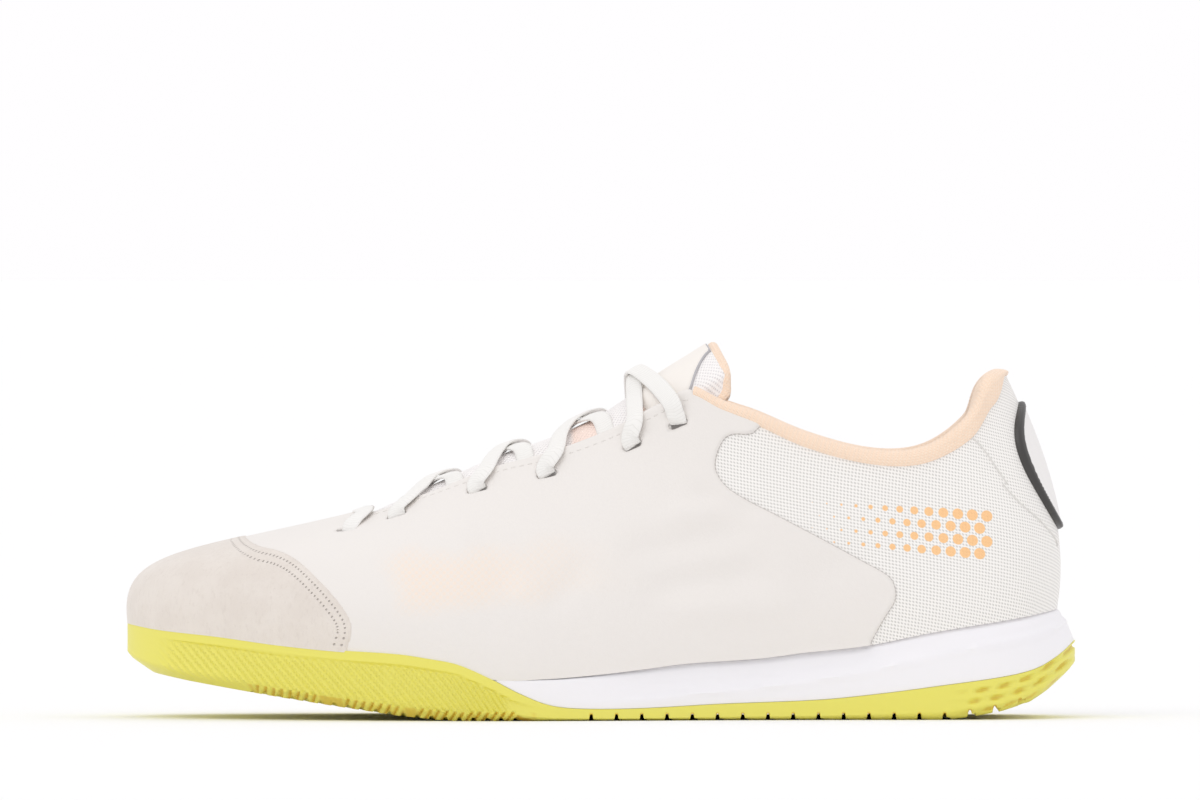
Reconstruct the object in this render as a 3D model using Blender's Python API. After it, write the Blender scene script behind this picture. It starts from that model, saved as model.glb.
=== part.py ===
"""Indoor soccer shoe for the left foot: sole, insole, hollow upper, overlays, tongue and laces.

Metres, +Z up. The toe points along -X, the lateral side faces -Y and the floor is z = 0.
"""
import math

import bmesh
import bpy
from mathutils import Vector

# Driving sizes of the shoe
LENGTH = 0.288           # outsole, toe tip to heel tip
BALL_WIDTH = 0.1005      # outsole across the ball
HEEL_WIDTH = 0.072       # outsole across the heel
TOE_SWING = 0.006        # how far the toe tip lies to the medial side
TOE_SPRING = 0.0175      # underside of the toe tip above the floor
HEEL_STACK = 0.0335      # top edge of the sole at the heel
RUBBER_RISE = 0.0289     # top edge of the outsole rim at the toe
BED_HEIGHT = 0.0225      # foot bed under the heel
INSTEP_HEIGHT = 0.0996   # upper's edge at the top of the lace rows
HEEL_HEIGHT = 0.1057     # upper's edge at the back, collar band included
TONGUE_RISE = 0.0177     # length of the tongue's free end past the top of the lace rows

# Thicknesses and clearances
CLEARANCE = 0.0003
OUTSOLE_BASE = 0.0030
RIM_WALL = 0.0030
BAND_HEIGHT = 0.0030     # smooth band along the top of the outsole's side
BAND_STEP = 0.0005
RIB_PITCH = 0.0038
RIB_DEPTH = 0.0005
RIB_SLANT_SHARE = 0.55   # run of a rib along the sole for each unit of height
LUG_PITCH = 0.0077
LUG_DEPTH = 0.0015
LUG_GAP = 0.0019         # open width between two lugs
SERRATION_DEPTH = 0.0009
SIDE_ROUND = 0.0008      # the side's lower part in from the outline, along the sides
SIDE_ROUND_TIPS = 0.0022 # further in at the toe and heel tips
RIM_ROUND = 0.0002       # rim's top edge in from the outline
UNDER_INSET = 0.0030     # underside in from the outline, along the sides
UNDER_TUCK = 0.0050      # further in at the toe and heel tips
HEEL_LEAN = 0.0042       # midsole's top edge forward of the heel tip
FOOT_INSET = 0.0012      # upper's foot in from the sole's outline
UPPER_WALL = 0.0020
ANKLE_WIDTH = 0.065      # widest part of the collar, outside
COLLAR_ROLL = 0.0040     # knit roll that stands on the upper's edge around the collar
ROLL_BACK_SHARE = 0.28   # height of the roll at the back of the heel, as a share of its full height
ROLL_FALLS = (0.95, 0.995)   # shares of the length between which it sinks to that
PAD_BACK_DROP = 0.0026   # how far the pad's top falls away inside the roll at the heel
OVERLAY_TOP = 0.0009     # outside of the vamp overlay over the upper's surface
TOE_CAP_TOP = 0.0012     # outside of the toe cap over the upper's surface
HEEL_PATCH_RISE = 0.0018
HEEL_PATCH_TOP = 0.0957
HEEL_PATCH_LOW = 0.0570
HEEL_PATCH_HALF_WIDTH = 0.0195
HEEL_PATCH_TURN_SHARE = 0.25   # share of a half turn that the plate is cut from, each way
PAD_THICKNESS = 0.0060   # soft pad inside the collar, at the ankle
PAD_FRONT = 0.0018       # the same pad at the front corners of the collar
TONGUE_THICKNESS = 0.0045
TONGUE_CROWN_SHARE = 0.40   # height of the tongue's arch for each unit of the throat's half width
LACE_WIDTH = 0.0066
LACE_THICKNESS = 0.0012
FRONT_LACE_SHARE = 0.76  # width of the bunched lace at the front end of the throat
LACE_LIFT = 0.0013       # room under the flat laces, which the curved pieces below need
INSOLE_THICKNESS = 0.0035
BED_LEDGE = 0.0030       # flat rim of the midsole around the foot bed
BED_SLOPE = 0.0030       # width of the slope from that rim down to the foot bed

# Outline of the sole: half widths as shares of the width there, ball or heel
OUTLINE = (
    # along, lateral, medial
    (0.00, 0.000, 0.000),
    (0.02, 0.170, 0.180),
    (0.05, 0.270, 0.270),
    (0.10, 0.360, 0.354),
    (0.15, 0.420, 0.408),
    (0.20, 0.464, 0.448),
    (0.28, 0.508, 0.473),
    (0.35, 0.527, 0.468),
    (0.42, 0.522, 0.438),
    (0.50, 0.488, 0.384),
    (0.58, 0.461, 0.352),
    (0.65, 0.470, 0.366),
    (0.72, 0.500, 0.416),
    (0.80, 0.521, 0.479),
    (0.87, 0.507, 0.500),
    (0.93, 0.458, 0.465),
    (0.97, 0.347, 0.347),
    (1.00, 0.000, 0.000),
)

# Underside of the sole along its length, as a share of the toe spring
UNDERSIDE = (
    # along, height
    (0.000, 1.00),
    (0.006, 0.92),
    (0.027, 0.78),
    (0.065, 0.66),
    (0.116, 0.52),
    (0.160, 0.40),
    (0.224, 0.24),
    (0.287, 0.09),
    (0.330, 0.02),
    (0.350, 0.00),
    (0.862, 0.00),
    (0.888, 0.05),
    (0.920, 0.14),
    (0.951, 0.30),
    (0.972, 0.50),
    (0.986, 0.66),
    (1.000, 0.82),
)

# Top edge of the rubber rim, as a share of its rise at the toe
RIM = (
    # along, height
    (0.000, 1.000),
    (0.034, 0.945),
    (0.097, 0.882),
    (0.160, 0.800),
    (0.224, 0.737),
    (0.287, 0.696),
    (0.319, 0.650),
    (0.350, 0.588),
    (0.386, 0.433),
    (0.413, 0.294),
    (0.444, 0.170),
    (0.475, 0.128),
    (0.540, 0.128),
    (0.626, 0.170),
    (0.730, 0.211),
    (0.793, 0.273),
    (0.857, 0.356),
    (0.926, 0.453),
    (0.959, 0.536),
    (0.983, 0.671),
    (1.000, 0.810),
)

# Top edge of the whole sole, where the upper stands, as a share of the heel stack
SOLE_TOP = (
    # along, height
    (0.000, 0.863),
    (0.034, 0.815),
    (0.097, 0.761),
    (0.160, 0.690),
    (0.224, 0.636),
    (0.287, 0.600),
    (0.319, 0.561),
    (0.350, 0.507),
    (0.386, 0.388),
    (0.442, 0.391),
    (0.495, 0.427),
    (0.541, 0.472),
    (0.590, 0.525),
    (0.667, 0.570),
    (0.711, 0.618),
    (0.778, 0.681),
    (0.846, 0.797),
    (0.926, 0.907),
    (1.000, 1.000),
)

# Foot bed along the shoe, as a share of its height under the heel
FOOT_BED = (
    # along, height
    (0.00, 0.86),
    (0.06, 0.76),
    (0.12, 0.66),
    (0.20, 0.55),
    (0.30, 0.47),
    (0.40, 0.46),
    (0.50, 0.52),
    (0.60, 0.63),
    (0.70, 0.76),
    (0.80, 0.89),
    (0.90, 0.97),
    (1.00, 1.00),
)


def blend(low, high, value):
    """Smooth step from 0 at low to 1 at high."""
    share = min(max((value - low) / (high - low), 0.0), 1.0)
    return share * share * (3.0 - 2.0 * share)


def roll_height(share):
    """Height of the knit roll over the upper's edge: full on the sides, low at the back of the heel."""
    return COLLAR_ROLL * (1.0 - (1.0 - ROLL_BACK_SHARE) * blend(*ROLL_FALLS, share))


def turn_of(share):
    """Angle around the shoe's outline, lateral side, at a share of the length."""
    return math.acos(min(max(1.0 - 2.0 * share, -1.0), 1.0))


def share_of(turn):
    return (1.0 - math.cos(turn)) / 2.0


def hermite(first, second, slope_first, slope_second, span, part):
    square = part * part
    cube = square * part
    return (
        (2.0 * cube - 3.0 * square + 1.0) * first
        + (cube - 2.0 * square + part) * span * slope_first
        + (3.0 * square - 2.0 * cube) * second
        + (cube - square) * span * slope_second
    )


def smooth_curve(knots, values, place):
    """Smooth curve through values at rising knots, with slopes from the neighbours."""
    last = len(knots) - 1
    place = min(max(place, knots[0]), knots[last])
    cell = 0
    while cell < last - 1 and place > knots[cell + 1]:
        cell += 1

    def slope(index):
        before = max(index - 1, 0)
        after = min(index + 1, last)
        return (values[after] - values[before]) / (knots[after] - knots[before])

    span = knots[cell + 1] - knots[cell]
    part = (place - knots[cell]) / span
    return hermite(values[cell], values[cell + 1], slope(cell), slope(cell + 1), span, part)


def straight_curve(table, place):
    """Straight runs between the rows of a two-column table."""
    for (start, low), (end, high) in zip(table, table[1:]):
        if place <= end:
            part = max(place - start, 0.0) / (end - start)
            return low + (high - low) * part
    return table[-1][1]


def height_along(table, size, share):
    knots = [row[0] for row in table]
    values = [row[1] for row in table]
    return size * smooth_curve(knots, values, share)


def along(share):
    return (share - 0.5) * LENGTH


def share_at(x):
    return x / LENGTH + 0.5


def centre_line(share):
    """Sideways swing of the shoe's centre line towards the medial side at the toe."""
    reach = max(1.0 - share / 0.4, 0.0)
    return TOE_SWING * reach * reach


def width_at(share):
    return BALL_WIDTH + (HEEL_WIDTH - BALL_WIDTH) * blend(0.5, 0.8, share)


OUTLINE_TURNS = [turn_of(row[0]) for row in OUTLINE]
OUTLINE_HALVES = {
    -1: [row[1] for row in OUTLINE],
    1: [row[2] for row in OUTLINE],
}


def outline(turn):
    """Point of the sole's outline in plan; the turn runs toe, lateral side, heel, medial side."""
    turn = turn % math.tau
    side = -1 if turn <= math.pi else 1
    folded = turn if side < 0 else math.tau - turn
    share = share_of(folded)
    half = smooth_curve(OUTLINE_TURNS, OUTLINE_HALVES[side], folded) * width_at(share)
    return Vector((along(share), centre_line(share) + side * half))


def outward(turn):
    """Unit normal of the outline in plan."""
    ahead = outline(turn + 0.01)
    behind = outline(turn - 0.01)
    run = ahead - behind
    normal = Vector((-run.y, run.x))
    if normal.dot(outline(turn) - Vector((0.0, 0.0))) < 0.0:
        normal = -normal
    return normal.normalized()


def tip_factor(turn):
    """1 at the toe and heel tips, 0 along the sides."""
    return outward(turn).x ** 2


def heel_factor(turn):
    return max(outward(turn).x, 0.0) ** 2


def underside(share):
    return TOE_SPRING * straight_curve(UNDERSIDE, share)


def rim_top(share):
    return height_along(RIM, RUBBER_RISE, share)


def sole_top(share):
    return height_along(SOLE_TOP, HEEL_STACK, share)


def foot_bed(share):
    return height_along(FOOT_BED, BED_HEIGHT, share)


def inset_place(turn, inset):
    place = outline(turn)
    return place - outward(turn) * inset


def both_sides(shares):
    """Turns of stations on the lateral side, the tips, and their partners on the medial side."""
    lateral = [turn_of(share) for share in shares]
    return [0.0] + lateral + [math.pi] + [math.tau - turn for turn in reversed(lateral)]


def clear_scene():
    for item in list(bpy.data.objects):
        bpy.data.objects.remove(item, do_unlink=True)


def material(name, colour, roughness):
    finish = bpy.data.materials.new(name)
    finish.use_nodes = True
    shader = finish.node_tree.nodes["Principled BSDF"]
    shader.inputs["Base Color"].default_value = (*colour, 1.0)
    shader.inputs["Roughness"].default_value = roughness
    shader.inputs["Metallic"].default_value = 0.0
    return finish


def add_piece(name, points, faces, finish, smooth_angle=40.0):
    """One closed object from points and faces, with its faces turned out."""
    mesh = bpy.data.meshes.new(name)
    mesh.from_pydata([tuple(point) for point in points], [], faces)
    work = bmesh.new()
    work.from_mesh(mesh)
    bmesh.ops.recalc_face_normals(work, faces=work.faces)
    work.to_mesh(mesh)
    work.free()
    mesh.shade_smooth()
    mesh.set_sharp_from_angle(angle=math.radians(smooth_angle))
    if finish:
        mesh.materials.append(finish)
    piece = bpy.data.objects.new(name, mesh)
    bpy.context.scene.collection.objects.link(piece)
    return piece


def ring_bands(count, rings):
    """Quads between each ring and the next."""
    faces = []
    for ring in range(rings - 1):
        for index in range(count):
            after = (index + 1) % count
            low = ring * count
            high = low + count
            faces.append((low + index, low + after, high + after, high + index))
    return faces


def ladder(count, start):
    """Faces that close a ring with rungs from each lateral point to its medial partner."""
    half = count // 2
    faces = [(start, start + 1, start + count - 1)]
    for index in range(1, half - 1):
        faces.append((start + index, start + index + 1, start + count - index - 1, start + count - index))
    faces.append((start + half - 1, start + half, start + half + 1))
    return faces


def ring_solid(name, rings, finish, smooth_angle=40.0):
    """Closed solid from a stack of rings, with a ladder of faces over the first and the last."""
    count = len(rings[0])
    points = [point for ring in rings for point in ring]
    faces = ring_bands(count, len(rings))
    faces += ladder(count, 0)
    faces += ladder(count, count * (len(rings) - 1))
    return add_piece(name, points, faces, finish, smooth_angle)


def tread_stations():
    """Stations of the outsole, toe to heel: share of the length, rib height, lug cut."""
    stations = [(share, 0.0, 0.0) for share in (0.003, 0.012, 0.024)]
    rib_start, serration_start, rib_end = 0.034, 0.134, 0.4135
    ribs = round((rib_end - rib_start) * LENGTH / RIB_PITCH)
    step = (rib_end - rib_start) / (2 * ribs)
    for index in range(2 * ribs + 1):
        share = rib_start + index * step
        rib = RIB_DEPTH if index % 2 else 0.0
        cut = SERRATION_DEPTH if share > serration_start and index % 4 in (2, 3) else 0.0
        stations.append((share, rib, cut))
    stations += [(share, 0.0, 0.0) for share in (0.425, 0.440, 0.466, 0.478)]
    lug_start, lug_end = 0.487, 0.937
    lugs = round((lug_end - lug_start) * LENGTH / LUG_PITCH)
    pitch = (lug_end - lug_start) / lugs
    gap = LUG_GAP / LENGTH
    slope = gap / 4.0
    for index in range(lugs + 1):
        place = lug_start + index * pitch
        stations.append((place, 0.0, 0.0))
        stations.append((place + slope, 0.0, LUG_DEPTH))
        stations.append((place + gap - slope, 0.0, LUG_DEPTH))
        stations.append((place + gap, 0.0, 0.0))
    stations += [(share, 0.0, 0.0) for share in (0.958, 0.972, 0.984, 0.993, 0.998)]
    return stations


RIBS_BEGIN = (0.02, 0.06)    # shares of the length over which the ribs begin
RIBS_FADE = (0.40, 0.44)     # and over which they fade
LOW_SIDE_SHARE = 0.18    # height on the side where its lower edge is rounded off
LOW_CUT_SHARE = 1.25     # a groove's height there, over its depth below
BAND_FOOT_SHARE = 0.98   # foot of the step under the smooth band
BAND_MOST_SHARE = 0.35   # most of the side's height that the band takes


def build_outsole(finish):
    """Rubber cup: lugs and serrations below, ribs and a smooth band on its side, a rim above."""
    stations = tread_stations()
    tip = (0.0, 0.0, 0.0)
    round_trip = [tip] + stations + [(1.0, 0.0, 0.0)] + list(reversed(stations))
    turns = both_sides([station[0] for station in stations])

    def side_point(turn, inset, rise, cut=0.0, slide=0.0):
        """Point on the outsole's side at a share of the height from underside to rim."""
        folded = turn if turn <= math.pi else math.tau - turn
        slid = turn_of(share_of(folded) + slide / LENGTH)
        place = inset_place(slid if turn <= math.pi else math.tau - slid, inset)
        bottom = underside(share_at(place.x))
        top = rim_top(share_of(folded))
        return Vector((place.x, place.y, max(bottom + (top - bottom) * rise, bottom + cut)))

    rings = [[] for ring in range(7)]
    for turn, (share, rib, cut) in zip(turns, round_trip):
        tip_in = tip_factor(turn)
        top = rim_top(share)
        ribbed = blend(*RIBS_BEGIN, share) * (1.0 - blend(*RIBS_FADE, share))
        step = BAND_STEP * ribbed
        height = top - underside(share)
        slide = RIB_SLANT_SHARE * height * ribbed / 2.0
        band = min(BAND_HEIGHT, BAND_MOST_SHARE * height) / height
        rings[0].append(side_point(turn, UNDER_INSET + UNDER_TUCK * tip_in, 0.0, cut, slide))
        low_in = SIDE_ROUND + SIDE_ROUND_TIPS * tip_in + step - rib
        rings[1].append(side_point(turn, low_in, LOW_SIDE_SHARE, cut * LOW_CUT_SHARE, slide))
        rings[2].append(side_point(turn, step - rib, BAND_FOOT_SHARE - band))
        rings[3].append(side_point(turn, 0.0, 1.0 - band))
        rings[4].append(side_point(turn, RIM_ROUND, 1.0))
        rim_inside = inset_place(turn, RIM_WALL)
        rings[5].append(Vector((rim_inside.x, rim_inside.y, top)))
        base_top = underside(share_at(rim_inside.x)) + OUTSOLE_BASE
        rings[6].append(Vector((rim_inside.x, rim_inside.y, base_top)))
    return ring_solid("outsole", rings, finish)


MIDSOLE_SHARES = (
    0.003, 0.012, 0.027, 0.048, 0.080, 0.120, 0.170, 0.220, 0.280, 0.335, 0.375,
    0.3945, 0.3955, 0.415, 0.445, 0.490, 0.540, 0.590, 0.640, 0.690, 0.740, 0.785,
    0.825, 0.860, 0.890, 0.915, 0.938, 0.957, 0.972, 0.984, 0.993, 0.998,
)
# Side of the midsole over the rubber: shares of its height inside the cup and behind it, inset
MIDSOLE_SIDE = (
    # inside the cup, behind it, inset
    (0.2, 0.00, 0.0),
    (0.4, 0.45, 0.0),
    (0.6, 0.55, 0.0006),
    (1.0, 1.00, 0.0006),
)
MIDSOLE_RIM = 0.0010     # the sole's top rim in from the heel's lean
MIDSOLE_BED_DROP = 0.0005   # least drop from that rim to the foot bed
MIDSOLE_EDGE = 0.0008    # least height of the midsole's outer edge over the rim
MIDSOLE_START = 0.395    # share of the length where the midsole comes out over the rim


def build_midsole(finish):
    """Foam midsole: inside the rubber cup at the front, out to the full outline behind it."""
    turns = both_sides(MIDSOLE_SHARES)
    inside = RIM_WALL + CLEARANCE
    rings = [[] for ring in range(8)]
    for turn in turns:
        share = share_of(turn if turn <= math.pi else math.tau - turn)
        outside = 0.0 if share > MIDSOLE_START else inside
        lean = HEEL_LEAN * heel_factor(turn)
        top = sole_top(share)
        ledge = min(rim_top(share) + CLEARANCE, top - MIDSOLE_EDGE)
        low = inset_place(turn, inside)
        floor = underside(share_at(low.x)) + OUTSOLE_BASE + CLEARANCE
        rings[0].append((low.x, low.y, floor))
        rings[1].append((low.x, low.y, ledge))
        for ring, (front_rise, rear_rise, inset) in enumerate(MIDSOLE_SIDE, start=2):
            rise = rear_rise if outside == 0.0 else front_rise
            inset = inset if outside == 0.0 else outside
            place = inset_place(turn, inset + lean * rise)
            rings[ring].append((place.x, place.y, ledge + (top - ledge) * rise))
        rim = inset_place(turn, max(inside, lean + MIDSOLE_RIM) + BED_LEDGE)
        rings[6].append((rim.x, rim.y, top))
        bed = inset_place(turn, max(inside, lean + MIDSOLE_RIM) + BED_LEDGE + BED_SLOPE)
        rings[7].append((bed.x, bed.y, min(foot_bed(share_at(bed.x)), top - MIDSOLE_BED_DROP)))
    return ring_solid("midsole", rings, finish)


INSOLE_SHARES = (
    0.004, 0.016, 0.035, 0.060, 0.095, 0.140, 0.190, 0.250, 0.310, 0.370, 0.430, 0.500, 0.570, 0.640,
    0.710, 0.770, 0.830, 0.880, 0.920, 0.950, 0.975, 0.990, 0.997,
)


INSOLE_ROUND = 0.0010
INSOLE_SIDE_SHARE = 0.75


def build_insole(finish):
    """Foam insole that lies on the foot bed, inside its sloped rim."""
    turns = both_sides(INSOLE_SHARES)
    rings = [[], [], []]
    for turn in turns:
        lean = HEEL_LEAN * heel_factor(turn)
        inside = max(RIM_WALL + CLEARANCE, lean + MIDSOLE_RIM) + BED_LEDGE + BED_SLOPE + 2.0 * CLEARANCE
        place = inset_place(turn, inside)
        inner = inset_place(turn, inside + INSOLE_ROUND)
        bottom = foot_bed(share_at(place.x)) + CLEARANCE
        rings[0].append((place.x, place.y, bottom))
        rings[1].append((place.x, place.y, bottom + INSOLE_THICKNESS * INSOLE_SIDE_SHARE))
        rings[2].append((inner.x, inner.y, foot_bed(share_at(inner.x)) + CLEARANCE + INSOLE_THICKNESS))
    return ring_solid("insole", rings, finish)


# Wall of the upper from the toe tip round to the heel tip. Its foot stands on the sole at a share of
# the length and its edge is the throat and the collar: half widths are shares of ANKLE_WIDTH, heights
# of the height there, instep or heel. Rise and fall are shares of the wall's height, bulge is a share
# of BALL_WIDTH and flare a share of the plan distance from edge to foot.
UPPER = (
    # foot, edge along, edge half, edge height, rise, bulge, fall, flare
    (0.00, 0.2400, 0.000, 0.6175, 0.615, 0.025, 0.40, 0.80),
    (0.03, 0.2415, 0.065, 0.6145, 0.615, 0.025, 0.39, 0.79),
    (0.08, 0.2470, 0.117, 0.6105, 0.600, 0.027, 0.36, 0.76),
    (0.15, 0.2620, 0.154, 0.6185, 0.550, 0.028, 0.31, 0.69),
    (0.22, 0.2900, 0.192, 0.6456, 0.500, 0.024, 0.27, 0.62),
    (0.30, 0.3350, 0.223, 0.6958, 0.450, 0.020, 0.25, 0.56),
    (0.38, 0.3950, 0.254, 0.7610, 0.420, 0.016, 0.26, 0.50),
    (0.45, 0.4500, 0.285, 0.8030, 0.400, 0.010, 0.28, 0.46),
    (0.52, 0.5100, 0.323, 0.8685, 0.380, 0.006, 0.30, 0.43),
    (0.58, 0.5600, 0.377, 0.9438, 0.350, 0.010, 0.33, 0.40),
    (0.63, 0.6000, 0.423, 0.9940, 0.350, 0.020, 0.34, 0.38),
    (0.68, 0.6500, 0.469, 0.9366, 0.330, 0.024, 0.33, 0.32),
    (0.74, 0.7150, 0.500, 0.8325, 0.330, 0.025, 0.33, 0.30),
    (0.80, 0.7800, 0.500, 0.7748, 0.330, 0.025, 0.33, 0.30),
    (0.86, 0.8400, 0.462, 0.7820, 0.330, 0.026, 0.33, 0.35),
    (0.91, 0.8870, 0.385, 0.8700, 0.330, 0.030, 0.33, 0.45),
    (0.95, 0.9080, 0.270, 0.9700, 0.320, 0.035, 0.34, 0.58),
    (0.98, 0.9205, 0.148, 0.9970, 0.310, 0.039, 0.35, 0.70),
    (1.00, 0.9260, 0.000, 1.0000, 0.310, 0.040, 0.35, 0.74),
)
UPPER_SHARES = (
    0.005, 0.020, 0.045, 0.080, 0.120, 0.160, 0.200, 0.245, 0.290, 0.325, 0.350, 0.368, 0.388, 0.425,
    0.470, 0.515, 0.560, 0.600, 0.640, 0.670, 0.710, 0.755, 0.800, 0.845, 0.885, 0.918, 0.945, 0.968,
    0.985, 0.996,
)
OUTER_LEVELS = (0.0, 0.09, 0.20, 0.32, 0.44, 0.56, 0.68, 0.79, 0.90, 1.0)
INNER_LEVELS = (1.0, 0.82, 0.62, 0.41, 0.20, 0.0)


def ring_of_rows():
    """Rows of the upper at their turns all the way round, the medial half mirrored."""
    lateral = [(turn_of(row[0]), (row[1], -row[2], *row[3:])) for row in UPPER]
    medial = [(math.tau - turn, (row[0], -row[1], *row[2:])) for turn, row in lateral[-2:0:-1]]
    one_turn = lateral + medial
    before = [(turn - math.tau, row) for turn, row in one_turn[-2:]]
    after = [(turn + math.tau, row) for turn, row in one_turn[:3]]
    return before + one_turn + after


ROW_TURNS = [turn for turn, row in ring_of_rows()]
ROW_COLUMNS = list(zip(*[row for turn, row in ring_of_rows()]))


def wall_curve(turn):
    """Four control points of the wall's curve, from its foot on the sole to its edge."""
    turn = turn % math.tau
    folded = turn if turn <= math.pi else math.tau - turn
    values = [smooth_curve(ROW_TURNS, column, turn) for column in ROW_COLUMNS]
    edge_share, edge_half, edge_height, rise, bulge, fall, flare = values
    normal = outward(turn)
    foot_plan = inset_place(turn, FOOT_INSET + HEEL_LEAN * heel_factor(turn))
    foot_share = share_of(folded)
    stand = max(sole_top(foot_share), rim_top(foot_share)) + CLEARANCE
    foot = Vector((foot_plan.x, foot_plan.y, stand))
    height = INSTEP_HEIGHT + (HEEL_HEIGHT - INSTEP_HEIGHT) * blend(0.6, 0.8, foot_share)
    top = height * edge_height - roll_height(foot_share) * blend(0.61, 0.66, foot_share)
    edge = Vector((along(edge_share), centre_line(edge_share) + ANKLE_WIDTH * edge_half, top))
    side = Vector((normal.x, normal.y, 0.0))
    up = Vector((0.0, 0.0, top - foot.z))
    distance = (edge - foot).to_2d().length
    low = foot + side * (bulge * BALL_WIDTH) + up * rise
    high = edge + side * (flare * distance) - up * fall
    return foot, low, high, edge


CURVES = {}


def wall_point(turn, level):
    key = round(turn % math.tau, 9)
    if key not in CURVES:
        CURVES[key] = wall_curve(key)
    foot, low, high, edge = CURVES[key]
    rest = 1.0 - level
    return (
        foot * rest ** 3
        + low * (3.0 * rest * rest * level)
        + high * (3.0 * rest * level * level)
        + edge * level ** 3
    )


def wall_normal(turn, level):
    """Unit normal of the upper's outer surface, pointing out of the shoe."""
    step = 0.02
    below = max(level - step, 0.0)
    above = min(level + step, 1.0)
    climb = wall_point(turn, above) - wall_point(turn, below)
    run = wall_point(turn + step, level) - wall_point(turn - step, level)
    normal = run.cross(climb)
    return normal.normalized()


def skin_point(turn, level, offset):
    """Point at an offset out of the upper's outer surface, never below the sole's top edge."""
    base = wall_point(turn, level)
    if level <= 0.0:
        side = outward(turn)
        return base + Vector((side.x, side.y, 0.0)) * offset
    place = base + wall_normal(turn, level) * offset
    place.z = max(place.z, wall_point(turn, 0.0).z)
    return place


def tube_solid(name, rings, rising, finish, smooth_angle=50.0):
    """Closed solid from rings that return to the first one; both skins split their quads alike."""
    count = len(rings[0])
    points = [point for ring in rings for point in ring]
    faces = []
    for ring in range(len(rings)):
        low = ring * count
        high = (ring + 1) % len(rings) * count
        for index in range(count):
            after = (index + 1) % count
            if ring < rising:
                faces.append((low + index, low + after, high + after))
                faces.append((low + index, high + after, high + index))
            else:
                faces.append((low + index, low + after, high + index))
                faces.append((low + after, high + after, high + index))
    return add_piece(name, points, faces, finish, smooth_angle)


def wall_shell(name, outside, inside, inner_levels, finish):
    """Shell between two offsets of the upper's surface, open at throat, collar and foot."""
    turns = both_sides(UPPER_SHARES)
    rings = [[skin_point(turn, level, outside) for turn in turns] for level in OUTER_LEVELS]
    rings += [[skin_point(turn, level, inside) for turn in turns] for level in inner_levels]
    return tube_solid(name, rings, len(OUTER_LEVELS), finish)


def build_upper(finish):
    return wall_shell("upper", 0.0, -UPPER_WALL, INNER_LEVELS, finish)


# Lines of the side view, as shares of the length and heights as shares of HEEL_HEIGHT
TOE_CAP_EDGE = (
    # along, height
    (0.121, 0.570),
    (0.124, 0.520),
    (0.140, 0.490),
    (0.162, 0.476),
    (0.182, 0.450),
    (0.202, 0.405),
    (0.222, 0.350),
    (0.236, 0.300),
    (0.2405, 0.260),
    (0.237, 0.215),
    (0.228, 0.150),
)
VAMP_EDGE = (
    # along, height
    (0.690, 1.05),
    (0.667, 0.836),
    (0.638, 0.814),
    (0.628, 0.794),
    (0.621, 0.747),
    (0.622, 0.704),
    (0.638, 0.653),
    (0.684, 0.586),
    (0.738, 0.509),
    (0.779, 0.448),
    (0.802, 0.411),
    (0.809, 0.374),
    (0.808, 0.336),
    (0.797, 0.288),
    (0.775, 0.180),
)


def side_cutter(name, corners):
    """Prism across the whole shoe from an outline in the side view."""
    half = BALL_WIDTH
    points = [(x, -half, z) for x, z in corners] + [(x, half, z) for x, z in corners]
    count = len(corners)
    faces = [tuple(range(count)), tuple(range(2 * count - 1, count - 1, -1))]
    for index in range(count):
        after = (index + 1) % count
        faces.append((index, index + count, after + count, after))
    cutter = add_piece(name, points, faces, None)
    cutter.hide_render = True
    cutter.display_type = "WIRE"
    return cutter


CUTTER_MARGIN = 0.15     # share of the shoe's size by which a cutter stands past it


def side_line(table, shift):
    return [(along(share) + shift, HEEL_HEIGHT * height) for share, height in table]


def cut(piece, cutter, operation):
    modifier = piece.modifiers.new(cutter.name, "BOOLEAN")
    modifier.operation = operation
    modifier.object = cutter
    modifier.solver = "EXACT"
    return modifier


def build_overlays(vamp_finish, toe_finish):
    """Smooth vamp overlay and suede toe cap, cut from one shell along lines of the side view."""
    low, high = -HEEL_HEIGHT * CUTTER_MARGIN, HEEL_HEIGHT * (1.0 + CUTTER_MARGIN)
    front, back = along(-CUTTER_MARGIN), along(1.0 + CUTTER_MARGIN)

    def toe_corners(shift):
        line = side_line(TOE_CAP_EDGE, shift)
        return [(front, line[-1][1]), (front, line[0][1])] + line

    rear_line = side_line(VAMP_EDGE, 0.0)
    rear = side_cutter("vamp_rear_cutter", [(back, low), (back, high), (rear_line[0][0], high)]
                       + rear_line + [(rear_line[-1][0], low)])
    toe = side_cutter("toe_cap_cutter", toe_corners(0.0))
    toe_room = side_cutter("toe_room_cutter", toe_corners(CLEARANCE))
    vamp = wall_shell("vamp_overlay", OVERLAY_TOP, CLEARANCE, tuple(reversed(OUTER_LEVELS)), vamp_finish)
    cut(vamp, rear, "DIFFERENCE")
    cut(vamp, toe_room, "DIFFERENCE")
    toe_cap = wall_shell("toe_cap", TOE_CAP_TOP, CLEARANCE, tuple(reversed(OUTER_LEVELS)), toe_finish)
    cut(toe_cap, toe, "INTERSECT")


HEEL_PATCH_LEVELS = (0.36, 0.96)     # levels of the wall that the plate is cut from
HEEL_PATCH_FRONT = 0.85              # share of the length where its cutter starts
HEEL_PATCH_SIDES = 24


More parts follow.
